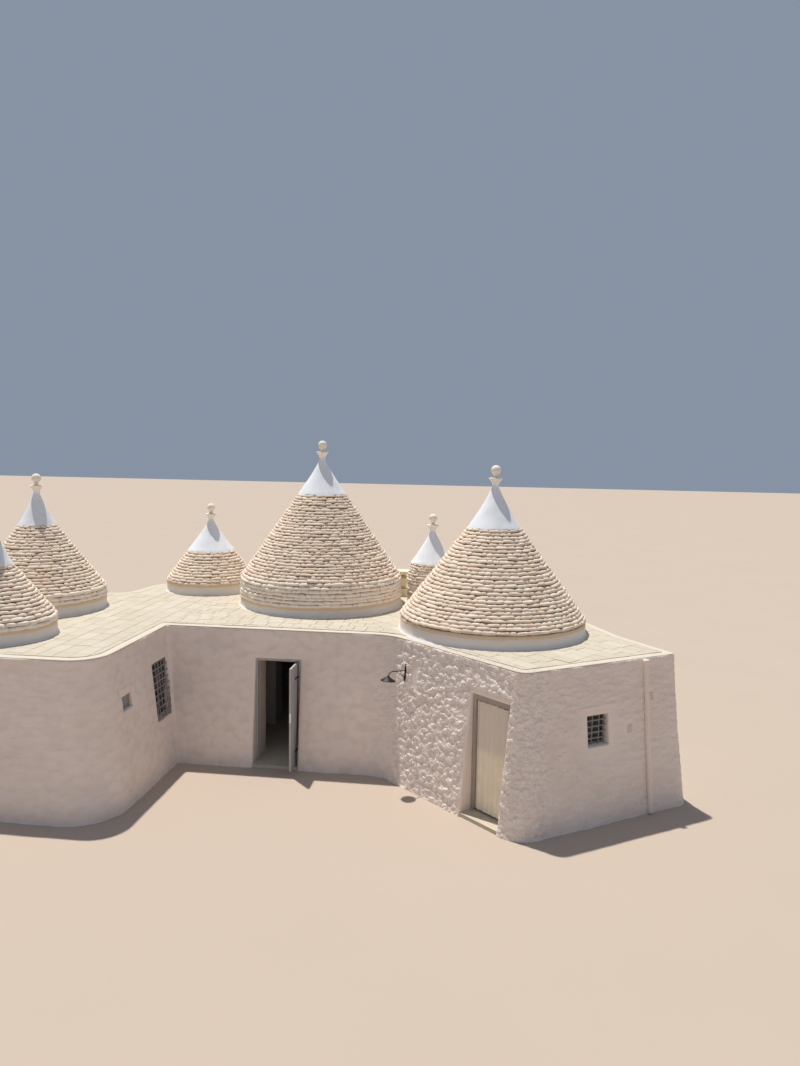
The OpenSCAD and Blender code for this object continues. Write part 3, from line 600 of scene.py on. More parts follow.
def columns(first, last, pitch, openings, lip):
    """Upright grid lines of the walls from corner first to corner last: arc columns, and line
    columns with their place on the wall as (fixed, share of first corner's cut, of last one's)"""
    cols = []
    for i in range(first, last):
        c = i % COUNT
        _, _, _, half, _ = corner_frame(c)
        spread = 2 * half * (RADII[c] + 0.1)
        steps = int(np.clip(math.ceil(spread / ((pitch(c) + pitch((c - 1) % COUNT)) / 2)), 3, 32))
        cols += [("arc", c, k, steps) for k in range(steps)]
        marks = [(0.0, 1.0, 0.0)]
        for wall, s0, s1, _, _ in sorted(openings, key=lambda o: o[1]):
            if wall == c:
                marks += [(s0 - lip, 0.0, 0.0), (s1 + lip, 0.0, 0.0)]
        marks.append((wall_len(c), 0.0, -1.0))
        for a, b in zip(marks, marks[1:]):
            n = max(1, int(round((b[0] - a[0]) / pitch(c))))
            cols += [("line", c, *((1 - k / n) * np.array(a) + k / n * np.array(b)))
                     for k in range(n)]
    return cols + [("arc", last % COUNT, 0, 3)]


def column_points(col, d):
    d = np.atleast_1d(np.asarray(d, float))
    if col[0] == "arc":
        return arc(col[1], d, col[2], col[3])
    _, c, fixed, low, high = col
    s = fixed + low * corner_cut(c, d) + high * corner_cut((c + 1) % COUNT, d)
    return CORNERS[c] + np.outer(s, wall_dir(c)) + np.outer(d, wall_out(c)), wall_out(c)


def on_line(col, wall):
    return col[0] == "line" and col[1] == wall


def level_marks(pitch, openings, top, lip):
    """Heights of the walls' grid, with one at each sill and head"""
    marks = [0.0, top]
    for _, _, _, sill, head in openings:
        marks += [head + lip] + ([sill - lip] if sill > 0 else [])
    marks = sorted(set(marks))
    zs = []
    for a, b in zip(marks, marks[1:]):
        n = max(1, int(round((b - a) / pitch)))
        zs += [a + (b - a) * k / n for k in range(n)]
    return np.array(zs + [top])


# Plaster of the walls
LIP, EDGE_R, RIM = 0.012, 0.035, 0.17


def dabs(s, z, wide, tall, turn, seed):
    """Plaster thrown or trowelled on in overlapping dabs, 0 to 1, thickest at their tops"""
    s, z = s / wide, z / tall
    ci, cj = np.floor(s).astype(np.int64), np.floor(z).astype(np.int64)
    best = np.zeros(s.shape)
    for di, dj in product((-1, 0, 1), repeat=2):
        i, j = ci + di, cj + dj
        across, up, angle, large = (scrambled(i, j, seed + k) / 65535 for k in range(4))
        x = s - (i + 0.5 + (across - 0.5) * 0.9)
        y = z - (j + 0.5 + (up - 0.5) * 0.9)
        w = (angle - 0.5) * 2 * turn
        a = x * np.cos(w) + y * np.sin(w) * tall / wide
        b = y * np.cos(w) - x * np.sin(w) * wide / tall
        body = np.clip(1 - (a / 0.8) ** 2 - (b / 0.7) ** 2, 0, 1) ** 0.4
        best = np.maximum(best, body * (0.45 + 0.75 * b) * np.clip(0.25 + 1.1 * large, 0.3, 1))
    return best


# how far each finish is used on a wall: rough-cast, trowel strokes, soft streaks
FINISH = {SLANT: (1.0, 0.0, 0.0), GABLE: (0.12, 0.9, 0.1), BACK: (0.1, 0.6, 0.3),
          COURT: (0.0, 0.1, 1.0), SIDE: (0.0, 0.2, 1.0), WING_FRONT: (0.0, 0.5, 0.6)}
OTHER_FINISH = (0.0, 0.6, 0.5)


def finishes(cols, along):
    """The finish of each column, changing over between two walls"""
    own = []
    for col in cols:
        mine = np.array(FINISH.get(col[1], OTHER_FINISH))
        if col[0] == "arc":
            mine = (mine + np.array(FINISH.get((col[1] - 1) % COUNT, OTHER_FINISH))) / 2
        if col[1] == GABLE and (col[0] == "arc" or col[2] < 0.3):
            mine = np.array(FINISH[SLANT]) * 0.8
        own.append(mine)
    near = np.clip(1 - np.abs(along[:, None] - along[None]) / 0.16, 0, 1)
    return near @ np.array(own) / near.sum(1, keepdims=True)


def calm(cols, zs):
    """1 on open wall, falling to 0 close to an opening or a fitting"""
    places = [(o, 0.02, 0.30 if key == "window" else 0.10) for key, o in OPENINGS.items()]
    places += [(o, 0.04, 0.06) for o in FITTINGS]
    out = np.ones((len(zs), len(cols)))
    for (wall, s0, s1, z0, z1), border, margin in places:
        dz = np.maximum(np.maximum(z0 - zs, zs - z1), 0)
        for j, col in enumerate(cols):
            if on_line(col, wall):
                near = np.hypot(max(s0 - col[2], col[2] - s1, 0), dz)
                out[:, j] = np.minimum(out[:, j], np.clip((near - border) / margin, 0, 1))
    return out


def ridges():
    """Raised lines in the plaster: wall, from (s, z), to (s, z), width, height"""
    _, w0, w1, _, w_head = OPENINGS["window"]
    _, h0, h1, h_sill, h_head = OPENINGS["hatch"]
    _, _, c1, c_sill, c_head = OPENINGS["court_window"]
    return [(GABLE, (w0 - 0.13, w_head + 0.13), (w1 + 0.16, w_head + 0.15), 0.020, 0.018),
            (SIDE, (h0 - 0.10, h_sill - 0.12), (h0 - 0.09, h_head + 0.12), 0.020, 0.008),
            (SIDE, (h0 - 0.09, h_head + 0.13), (h1 + 0.14, h_head + 0.10), 0.018, 0.008),
            (SIDE, (c1 + 0.10, c_sill - 0.1), (c1 + 0.11, c_head + 0.16), 0.035, 0.006)]


def raised(cols, zs):
    out = np.zeros((len(zs), len(cols)))
    for wall, a, b, wide, high in ridges():
        a, b = np.array(a), np.array(b)
        for j, col in enumerate(cols):
            if on_line(col, wall):
                p = np.stack([np.full(len(zs), col[2]), zs], -1) - a
                t = np.clip(p @ (b - a) / ((b - a) @ (b - a)), 0, 1)
                off = np.linalg.norm(p - t[:, None] * (b - a), axis=1)
                out[:, j] = np.maximum(out[:, j], high * np.exp(-(off / wide) ** 2))
    return out


def plaster(cols, zs, grid):
    """How far the plaster stands out of the grid, and the layers that its look reads"""
    shape = grid.shape[:2]
    flat, z = grid.reshape(-1, 3), grid[:, :, 2]
    middle = grid[len(zs) // 2, :, :2]
    along = np.concatenate([[0], np.cumsum(np.linalg.norm(np.diff(middle, axis=0), axis=1))])
    s = np.tile(along, (shape[0], 1))

    def waves(size, seed):
        return lumps(flat, size, seed).reshape(shape)

    cast, strokes, streaks = finishes(cols, along).T
    rough = dabs(s, z, 0.11, 0.09, 0.9, 3) * 0.026 + waves(0.05, 10) * 0.002
    stroke = dabs(s, z, 0.24, 0.085, 0.3, 15) * 0.020 + dabs(s, z, 0.11, 0.05, 0.5, 20) * 0.004
    streak = dabs(s, z, 0.13, 0.17, 0.6, 27) * 0.015
    calmness = np.ones(shape)
    calmness[:len(zs)] = calm(cols, zs)
    seam = np.clip(np.minimum(along, along[-1] - along) / 0.3, 0, 1)
    move = (rough * cast + stroke * strokes + streak * streaks) * seam * calmness
    move *= np.clip((WALL_H - z) / 0.12, 0.3, 1)
    move += (waves(0.62, 1) * 0.011 + waves(0.21, 2) * 0.0045) * (0.3 + 0.7 * calmness) + 0.006
    move[:len(zs)] += raised(cols, zs)
    move += 0.020 * np.exp(-z / 0.07) * (0.8 + 0.4 * waves(0.3, 7))
    move = np.maximum(move, np.where(z > WALL_TOP - 0.03, 0.004, -1))
    relief = rough / 0.024 * cast + stroke / 0.026 * strokes + streak / 0.012 * streaks
    layers = {"rough": (cast + 0.35 * strokes)[None] * calmness,
              # the flat top, where the plaster takes its painted darker tan
              "rim": np.clip((z - WALL_H + 0.012) / 0.010, 0, 1),
              # painted shade where the relief is low
              "hollow": np.clip(0.55 - relief, 0, 1) * calmness}
    return move, layers


def edge_marks(cols, zs, opening):
    """The grid lines that bound an opening: its columns, its lowest and its highest row"""
    wall, s0, s1, z0, z1 = opening
    js = [j for j, c in enumerate(cols) if on_line(c, wall)
          and abs(c[3]) + abs(c[4]) < 1e-9 and s0 - LIP - 1e-6 <= c[2] <= s1 + LIP + 1e-6]
    low = 0 if z0 == 0 else int(np.argmin(abs(zs - (z0 - LIP))))
    return js, low, int(np.argmin(abs(zs - (z1 + LIP))))


def reveal(opening, marks, cols, z_all, points, faces):
    """The plaster from the edge of an opening to the inner wall face"""
    wall, s0, s1, z0, z1 = opening
    js, i0, i1 = marks
    loop = [(i, js[0]) for i in range(i0, i1)] + [(i1, j) for j in js[:-1]]
    loop += [(i, js[-1]) for i in range(i1, i0, -1)]
    loop += [(i0, j) for j in js[:0:-1]] if z0 > 0 else [(i0, js[-1])]
    ring = [i * len(cols) + j for i, j in loop]
    u, n = wall_dir(wall), wall_out(wall)
    for depth in (LIP, 0.03, 0.10, 0.30, None):
        new = []
        for i, j in loop:
            s = min(max(cols[j][2], s0), s1)
            z = min(max(z_all[i], z0), z1)
            d = -WALL_T if depth is None else float(lean(z)) - depth + 0.004
            xy = CORNERS[wall] + u * s + n * d
            wave = 0.002 * float(lumps([[xy[0], xy[1], z]], 0.12, 9)[0])
            xy = xy + u * (wave if s > (s0 + s1) / 2 else -wave)
            new.append(len(points))
            points.append((xy[0], xy[1], z))
        for k in range(len(ring) if z0 > 0 else len(ring) - 1):
            m = (k + 1) % len(ring)
            faces.append((ring[k], new[k], new[m], ring[m]))
        ring = new


def wall_skin(name, first, last, pitch, level_pitch, names, replaces):
    """The plaster between two plan corners, up over the rounded edge and along the flat rim"""
    openings = [OPENINGS[n] for n in names]
    zs = level_marks(level_pitch, openings, WALL_H - EDGE_R, LIP)
    turn = np.radians([22, 45, 67, 90])
    z_all = np.concatenate([zs, WALL_H - EDGE_R + EDGE_R * np.sin(turn),
                            WALL_H + np.array([0.004, 0.006, 0.004, 0.0, -0.02])])
    d_all = np.concatenate([lean(zs), -EDGE_R * (1 - np.cos(turn)),
                            [-0.07, -0.11, -0.145, -RIM, -RIM - 0.006]])
    cols = columns(first, last, pitch, openings, LIP)
    rows, count = len(z_all), len(cols)
    grid, out = np.zeros((rows, count, 3)), np.zeros((count, 2))
    for j, col in enumerate(cols):
        grid[:, j, :2], out[j] = column_points(col, d_all)
        grid[:, j, 2] = z_all
    move, layers = plaster(cols, zs, grid)
    top = np.clip((len(zs) + 7 - np.arange(rows)) / 4.0, 0, 1)[:, None]
    grid[:, :, :2] += out[None] * (move * top)[:, :, None]
    grid[:, :, 2] += (1 - top) * lumps(grid.reshape(-1, 3), 0.18, 8).reshape(rows, count) * 0.004
    marks = [edge_marks(cols, zs, opening) for opening in openings]
    hole = np.zeros((rows - 1, count - 1), bool)
    for js, i0, i1 in marks:
        hole[i0:i1, js[0]:js[-1]] = True
    faces = [f for f in quads(rows, count) if not hole[f[0] // count, f[0] % count]]
    points = [tuple(p) for p in grid.reshape(-1, 3)]
    for opening, mark in zip(openings, marks):
        reveal(opening, mark, cols, z_all, points, faces)
    in_reveals = {"rough": 0.05, "rim": 0.0, "hollow": 0.0}
    for key, value in in_reveals.items():
        extra = np.full(len(points) - rows * count, value)
        layers[key] = np.concatenate([layers[key].reshape(-1), extra])
    build(name, points, faces, WHITE, "whitewash", replaces=replaces, **layers)


def inner_skin():
    """The inner wall faces, plain and upright"""
    openings = list(OPENINGS.values())
    cols = columns(0, COUNT, lambda c: 0.35, openings, 0.0)
    zs = level_marks(0.3, openings, WALL_TOP, 0.0)
    grid = np.zeros((len(zs), len(cols), 3))
    for j, col in enumerate(cols):
        grid[:, j, :2], _ = column_points(col, np.full(len(zs), -WALL_T))
        grid[:, j, 2] = zs

    def cut(col, z):
        return any(on_line(col, wall) and abs(col[3]) + abs(col[4]) < 1e-9
                   and s0 - 1e-6 < col[2] < s1 - 1e-6 and z0 < z < z1
                   for wall, s0, s1, z0, z1 in openings)

    faces = []
    for f in quads(len(zs), len(cols)):
        i, j = divmod(f[0], len(cols))
        if not cut(cols[j], (zs[i] + zs[i + 1]) / 2):
            faces.append(f[::-1])
    build("inner_walls", grid.reshape(-1, 3), faces, INSIDE, "whitewash")


def court_pitch(wall):
    return {SLANT: 0.018, GABLE: 0.024, COURT: 0.036, SIDE: 0.045}.get(wall, 0.09)


def walls():
    wall_skin("court_walls", WING_FRONT, BACK + 1, court_pitch, 0.0185, list(OPENINGS),
              ["wing_front_wall", "wing_side_wall", "court_window_wall", "door_wall_left",
               "door_lintel", "door_wall_right", "curtain_door_lintel", "front_corner_wall",
               "window_wall", "right_corner_wall"])
    wall_skin("outer_walls", BACK + 1, COUNT, lambda c: 0.045, 0.04, [],
              ["right_back_wall", "back_wall_right", "back_wall_left", "left_wall"])
    inner_skin()


# Cones
# how far the facing stones run down over the top of a drum
LOWER = {"main": 0.04, "right": -0.02}
# points across the face of a stone
ACROSS = 7


def slope_radius(cone, z):
    """How far the stones' slope stands from the axis at a height"""
    c = CONES[cone]
    if z < STONES_Z + c.foot:
        return c.r + OVERHANG * (1 - (z - STONES_Z) / c.foot)
    return c.r + (c.cap_r - c.r) * (z - STONES_Z - c.foot) / (c.stone_h - c.foot)


def stone_profile(depth):
    """A stone's face from its undercut foot over its rounded nose: (out, height, dark) rows, where
    dark is painted shade, most in the undercut and behind the nose
    """
    rows = [(-0.034, -0.03, 1.0), (-0.008, 0.03, 0.7), (-0.001, 0.12, 0.2)]
    for turn in np.radians([0, 20, 40, 58, 76, 90]):
        rows.append((-depth * (1 - math.cos(turn)), 0.28 + 0.66 * math.sin(turn), 0.0))
    return rows + [(-depth - 0.03, 0.95, 1.0)]


def split_stone(dice, profile, r, z, h, a0, a1, drift):
    """One stone of a course between two angles: points, faces and how much painted shade each point
    has, in its undercut and at its ends
    """
    t = np.linspace(-1, 1, ACROSS)
    gap = dice.uniform(0.0004, 0.0016) / r
    out, drop = dice.normal(0, 0.0045), dice.normal(0, 0.0025)
    tall, tilt = h * dice.uniform(0.94, 1.05), dice.normal(0, 0.003)
    angles = np.linspace(a0 + gap, a1 - gap, ACROSS)
    wave = 0.003 * np.sin(3 * angles + drift[0]) + 0.0015 * np.sin(11 * angles + drift[1])
    rows = []
    for dr, dz, _ in profile:
        rr = r + dr + out - 0.011 * np.abs(t) ** 3 * (1 if dr > -0.06 else 0.2)
        zz = z + wave + drop + dz * tall + tilt * t - 0.008 * t ** 4 * (dz > 0.2)
        rows.append(np.stack([rr * np.cos(angles), rr * np.sin(angles), zz], -1))
    faces = quads(len(profile), ACROSS)
    for side in (0, ACROSS - 1):
        ring = [i * ACROSS + side for i in range(len(profile))]
        faces.append(tuple(ring if side == 0 else ring[::-1]))
    dark = np.repeat([d for _, _, d in profile], ACROSS)
    # a little painted shade at the stone's ends, by the joints
    ends = np.tile(np.abs(t) > 0.99, len(profile)) * 0.12
    return np.concatenate(rows), faces, np.maximum(dark, ends)


def stone_cone(cone):
    """Even courses of separate split stones, bedded on the dome"""
    x, y, _, foot, stone_h, _, _, courses = CONES[cone]
    has_foot = foot > 0.1
    seed = sorted(CONES).index(cone) * 40
    dice = np.random.default_rng(500 + seed)
    low = LOWER.get(cone, 0)
    courses += int(round(low * courses / stone_h))
    heights = dice.uniform(0.90, 1.10, courses)
    taller = np.arange(courses) < 0.85 * courses * (foot + low) / stone_h
    heights *= 1 + 0.28 * taller * has_foot
    levels = np.concatenate([[0], np.cumsum(heights)]) * (stone_h + low) / heights.sum()
    levels += STONES_Z - low
    heap = Heap()
    for z, above in zip(levels, levels[1:]):
        h = above - z
        r = slope_radius(cone, z + h / 2) + 0.014
        setback = slope_radius(cone, z) - slope_radius(cone, z + h)
        upright = has_foot and z < STONES_Z + foot
        profile = stone_profile(max(setback + 0.006, 0.036 if upright else 0.022))
        n = max(6, int(round(2 * math.pi * r / dice.uniform(0.175, 0.195))))
        cuts = np.cumsum(dice.uniform(0.5, 1.5, n))
        cuts = cuts / cuts[-1] * 2 * math.pi + dice.uniform(0, 6.28)
        drift = dice.uniform(0, 6.28, 2)
        # painted light: the foot's upright courses, in shade, are painted paler as though lit; the
        # small cone's stones are all made paler
        pale = np.clip((STONES_Z + foot + 0.05 - z) / 0.12, 0, 1) * has_foot
        pale = max(pale, 0.7 * (cone == "small"))
        for a0, a1 in zip([cuts[-1] - 2 * math.pi, *cuts], cuts):
            points, faces, dark = split_stone(dice, profile, r, z, h, a0, a1, drift)
            # painted shade, less of it on the upright foot courses
            heap.put(points, faces, dark=dark * (0.55 if upright else 1),
                     tone=dice.uniform(0, 1), pale=pale)
    points = np.concatenate(heap.points)
    ahead = points * np.array([1, 1, 0])
    ahead /= np.linalg.norm(ahead, axis=1, keepdims=True)
    where = points + np.array([x, y, 0])
    points = points + ahead * (lumps(where, (0.075, 0.075, 0.05), 21 + seed) * 0.007
                               + lumps(where, 0.03, 22 + seed) * 0.0045)[:, None]
    points[:, 2] += (lumps(where, (0.08, 0.08, 0.03), 23 + seed) * 0.005
                     + lumps(where, (0.03, 0.03, 0.02), 24 + seed) * 0.0025)
    heap.points = [points + np.array([x, y, 0])]
    heap.build(f"{cone}_stone_courses", STONE, "limestone", replaces=[f"{cone}_stones"], sharp=62)


def bedding(cone):
    """Warm earth between the courses, just behind the stones' noses"""
    c = CONES[cone]
    low = STONES_Z + 0.012
    profile = [(c.r - 0.16, low), (slope_radius(cone, STONES_Z) - 0.045, low)]
    profile += [(slope_radius(cone, z) - 0.05, z)
                for z in np.linspace(STONES_Z + 0.02, STONES_Z + c.stone_h, 24)]
    points, faces = lathe(profile, 72, (c.x, c.y))
    build(f"{cone}_bedding", points, faces, EARTH, "limestone")


def cap_profile(c, z0, neck_z):
    """Side view of a cap with its collar, stem and ball, from the foot up"""
    collar_z = neck_z + COLLAR_H
    ball_z = collar_z + STEM_H + BALL_R * 0.9
    profile = [(c.cap_r - 0.06, z0 - 0.035), (c.cap_r - 0.012, z0 - 0.022),
               (c.cap_r + 0.006, z0 - 0.006)]
    for t in (k / 18 for k in range(19)):
        profile.append((NECK_R + (c.cap_r - NECK_R) * (1 - t) ** 1.2,
                        z0 + c.cap_h * t + 0.006 * (1 - t)))
    for t in (k / 7 for k in range(1, 8)):
        profile.append((NECK_R + (COLLAR_R - NECK_R) * t ** 1.6, neck_z + (COLLAR_H - 0.015) * t))
    profile += [(COLLAR_R + 0.001, collar_z - 0.011), (COLLAR_R - 0.002, collar_z - 0.003),
                (COLLAR_R - 0.010, collar_z), (0.075, collar_z + 0.001),
                (STEM_R + 0.012, collar_z + 0.003), (STEM_R + 0.002, collar_z + 0.014),
                (STEM_R - 0.003, collar_z + 0.03), (STEM_R, collar_z + STEM_H - 0.004)]
    for k in range(1, 21):
        w = math.radians(-62 + 152 * k / 20)
        profile.append((max(BALL_R * math.cos(w), 0.0004), ball_z + BALL_R * math.sin(w)))
    return profile


def cap_piece(cone):
    """The plastered cap and its pinnacle, with an uneven foot"""
    c = CONES[cone]
    z0 = STONES_Z + c.stone_h
    neck_z = z0 + c.cap_h

    def uneven(p):
        a = np.arctan2(p[:, 1], p[:, 0])
        low = np.clip((z0 + 0.10 - p[:, 2]) / 0.12, 0, 1)
        jag = lumps(np.stack([np.cos(a) * 4, np.sin(a) * 4, a * 0 + c.x], -1), 0.45, 31)
        p = p.copy()
        p[:, 2] += low * jag * 0.016
        shell = np.clip((neck_z - p[:, 2]) / 0.3, 0.08, 1)
        push = lumps(p + [c.x, c.y, 0], 0.22, 32) * 0.007 + lumps(p, 0.09, 33) * 0.0025
        p[:, :2] *= 1 + (push * shell / np.maximum(np.hypot(p[:, 0], p[:, 1]), 0.05))[:, None]
        return p

    points, faces = lathe(cap_profile(c, z0, neck_z), 72, (c.x, c.y), uneven)
    cream = np.clip((points[:, 2] - neck_z - 0.2 * COLLAR_H) / (0.3 * COLLAR_H), 0, 1)
    build(f"{cone}_pinnacle", points, faces, BRIGHT, "whitewash", replaces=[f"{cone}_cap"],
          sharp=58, rough=np.zeros(len(points)), cream=cream)


def drum_skin(cone):
    """Uneven plaster on the drum, running out softly onto the roof"""
    x, y, r = CONES[cone][:3]
    z0 = WALL_H + 0.004
    profile = [(r + 0.075, z0 - 0.012), (r + 0.060, z0 + 0.004), (r + 0.038, z0 + 0.012),
               (r + 0.022, z0 + 0.028), (r + 0.013, z0 + 0.055)]
    profile += [(r + 0.010, z) for z in np.linspace(z0 + 0.09, STONES_Z - 0.11, 4)]
    profile += [(r + 0.010, z) for z in np.linspace(STONES_Z - 0.10, STONES_Z - 0.02, 8)]
    profile += [(r + 0.008, STONES_Z - 0.008), (r + 0.001, STONES_Z + 0.004),
                (r - 0.02, STONES_Z + 0.008)]

    def uneven(p):
        place = p + np.array([x, y, 0])
        push = lumps(place, 0.35, 41) * 0.008 + lumps(place, 0.12, 42) * 0.0035
        low = np.clip((z0 + 0.03 - p[:, 2]) / 0.03, 0, 1)
        push = np.maximum(push, -0.006) + low * lumps(place, 0.15, 43) * 0.012
        p = p.copy()
        p[:, :2] *= 1 + (push / np.hypot(p[:, 0], p[:, 1]))[:, None]
        return p

    points, faces = lathe(profile, int(90 * max(r, 0.8) / 1.2), (x, y), uneven)
    wave = 0.010 * lumps(points, 0.3, 44)
    edge = STONES_Z - max(LOWER.get(cone, 0), 0)
    # the tan band just under the stones is partly mortar and partly painted shade under their
    # overhang; the weaker cream higher up is painted warm bounce light
    cream = 0.2 * np.clip((points[:, 2] - edge + 0.14 - wave) / 0.05, 0, 1)
    cream += 0.8 * np.clip((points[:, 2] - edge + 0.065 - wave) / 0.015, 0, 1)
    build(f"{cone}_drum_plaster", points, faces, DRUM, "whitewash",
          rough=np.zeros(len(points)), cream=cream)


# Roof paving
# heights that the cutters reach from and to, below and above every slab
CUT_LOW, CUT_HIGH = 2.3, 2.8
SLAB_OUT, SLAB_IN, SLAB_EDGE = 0.012, 0.01, 0.0035
NEAR = 0.4


def outline(d):
    """The plan moved out by d, as points"""
    return [tuple(arc(i, d, k, 6)[0][0]) for i in range(COUNT) for k in range(7)]


def circle(cone, less):
    x, y, r = CONES[cone][:3]
    return [(x + (r - less) * math.cos(w), y + (r - less) * math.sin(w))
            for w in np.linspace(0, 2 * math.pi, 48, endpoint=False)]


def wall_foot():
    """Closes the underside of the walls, between their two faces"""
    rings = [[(*p, 0.002) for p in outline(d)] for d in (float(lean(0.0)), -WALL_T)]
    points = np.array(rings[0] + rings[1])
    faces = quads(2, len(rings[0]), wrap=True)
    a, b, c = points[list(faces[0][:3])]
    if np.cross(b - a, c - b)[2] > 0:
        faces = [f[::-1] for f in faces]
    build("wall_foot", points, faces, EARTH, "whitewash")


def slabs_over(origin, angle, pitch, length, keep, dice):
    """Rows of slabs laid along a direction, where keep(x, y) says so"""
    heap = Heap()
    u = np.array([math.cos(angle), math.sin(angle)])
    v = np.array([-u[1], u[0]])
    for row in range(-40, 41):
        s = -12 + dice.uniform(0, length)
        while s < 12:
            run = length * dice.uniform(0.75, 1.25)
            mid = np.array(origin) + u * (s + run / 2) + v * (row + 0.5) * pitch
            if keep(*mid):
                high = WALL_H + SLAB_OUT + dice.normal(0, 0.0012)
                gap = dice.uniform(0.003, 0.0046)
                a, b = s + gap, s + run - gap
                c, d = row * pitch + gap, (row + 1) * pitch - gap
                box, faces = soft_box((a, c, WALL_H - SLAB_IN), (b, d, high), SLAB_EDGE)
                tip = dice.normal(0, 0.0018, 2)
                box[:, 2] += (box[:, 0] - (a + b) / 2) * tip[0] + (box[:, 1] - (c + d) / 2) * tip[1]
                xy = np.array(origin) + box[:, :1] * u + box[:, 1:2] * v
                heap.put(np.column_stack([xy, box[:, 2]]), faces, tone=dice.uniform(0, 1))
            s += run
    return heap


def keeper(zone):
    """Tells whether a point is in the house's box, and in the zone or close to it"""
    low, high = CORNERS.min(0) - NEAR, CORNERS.max(0) + NEAR
    ring = np.array(zone)

    def keep(x, y):
        if not (low[0] < x < high[0] and low[1] < y < high[1]):
            return False
        for a, b in zip(ring, np.roll(ring, -1, axis=0)):
            e = unit(b - a)
            if e[0] * (y - a[1]) - e[1] * (x - a[0]) < -NEAR:
                return False
        return True

    return keep


def cut(piece, ring, how):
    """Adds a cut of a piece by an upright prism, and gives the prism"""
    n = len(ring)
    points = [(*p, z) for z in (CUT_LOW, CUT_HIGH) for p in ring]
    faces = [tuple(range(n))[::-1], tuple(range(n, 2 * n))]
    faces += [(i, (i + 1) % n, n + (i + 1) % n, n + i) for i in range(n)]
    mesh = bpy.data.meshes.new("cutter")
    mesh.from_pydata(points, [], faces)
    cutter = bpy.data.objects.new("cutter", mesh)
    scene.collection.objects.link(cutter)
    step = piece.modifiers.new("cut", "BOOLEAN")
    step.object = cutter
    step.operation = how
    step.solver = "EXACT"
    step.use_self = False
    return cutter


def seam_x(y):
    """Where the centre roof's slabs meet the right roof's"""
    return 1.95 - 0.55 * (y + COURT_D)


def paving():
    """Three roofs paved in rows along the wall below them, cut round the drums"""
    left, right, front, back = -9, 11, -9.0, 4.0
    seam = ((seam_x(front), front), (seam_x(back), back))
    slant = math.atan2(*wall_dir(SLANT)[::-1])
    # origin, direction, width of a row, length of a slab and outline of each roof
    zones = {
        "left": ((-SIDE_D, -WING_D), math.pi / 2, 0.27, 0.40,
                 [(left, front), (-SIDE_D, front), (-SIDE_D, back), (left, back)]),
        "centre": ((-SIDE_D, -COURT_D), 0.0, 0.27, 0.29,
                   [(-SIDE_D, front), *seam, (-SIDE_D, back)]),
        "right": ((BEND_X, -COURT_D), slant, 0.26, 0.40,
                  [seam[0], (right, front), (right, back), seam[1]]),
    }
    for number, (name, (*laid, zone)) in enumerate(zones.items()):
        heap = slabs_over(*laid, keeper(zone), np.random.default_rng(77 + number))
        piece = heap.build(f"roof_slabs_{name}", PAVING, "paving", smooth=False)
        cutters = [cut(piece, ring, "INTERSECT") for ring in (zone, outline(-RIM + 0.015))]
        cutters += [cut(piece, circle(cone, 0.05), "DIFFERENCE") for cone in CONES]
        bpy.context.view_layer.update()
        graph = bpy.context.evaluated_depsgraph_get()
        mesh = bpy.data.meshes.new_from_object(piece.evaluated_get(graph))
        piece.modifiers.clear()
        piece.data = mesh
        for cutter in cutters:
            bpy.data.objects.remove(cutter)


# Doors
# the curtain door's frame: widths of its left post, right post and head
CURTAIN_FRAME = (0.065, 0.048, 0.095)
# how far wood added here stands past the CAD piece that it encloses, and clear of the wall
PAST, CLEAR = 0.0015, 0.0005
DOOR_OUT = float(lean(DOOR_H))
DOOR_STOP, STOP_W = 0.045, 0.012


def door_frames():
    h, edge = DOOR_H - FLOOR_T, FRAME_W + PAST
    for name, wall, s, w, back, look, widths in (
            ("door_frame", COURT, SIDE_D - DOOR_LEFT, DOOR_W, DOOR_BACK, PALE_WOOD, [edge] * 3),
            ("curtain_frame", SLANT, CURTAIN_AT, CURTAIN_W, CURTAIN_BACK, TAUPE_WOOD, CURTAIN_FRAME)):
        near, far, head = widths
        low, deep = back - PAST, back + FRAME_D + PAST
        boxes = [((CLEAR, low, 0), (near, deep, h)), ((w - far, low, 0), (w - CLEAR, deep, h)),
                 ((near, low, h - head), (w - far, deep, h))]
        if name == "door_frame":
            stop = back + DOOR_STOP
            boxes += [((edge, stop, 0), (edge + STOP_W, deep, h - edge)),
                      ((w - edge - STOP_W, stop, 0), (w - edge, deep, h - edge))]
        heap = Heap(spot(wall, s, FLOOR_T, DOOR_OUT))
        heap.boxes(boxes, 0.004)
        heap.build(f"{name}_joinery", look, "grey_wood", smooth=False)


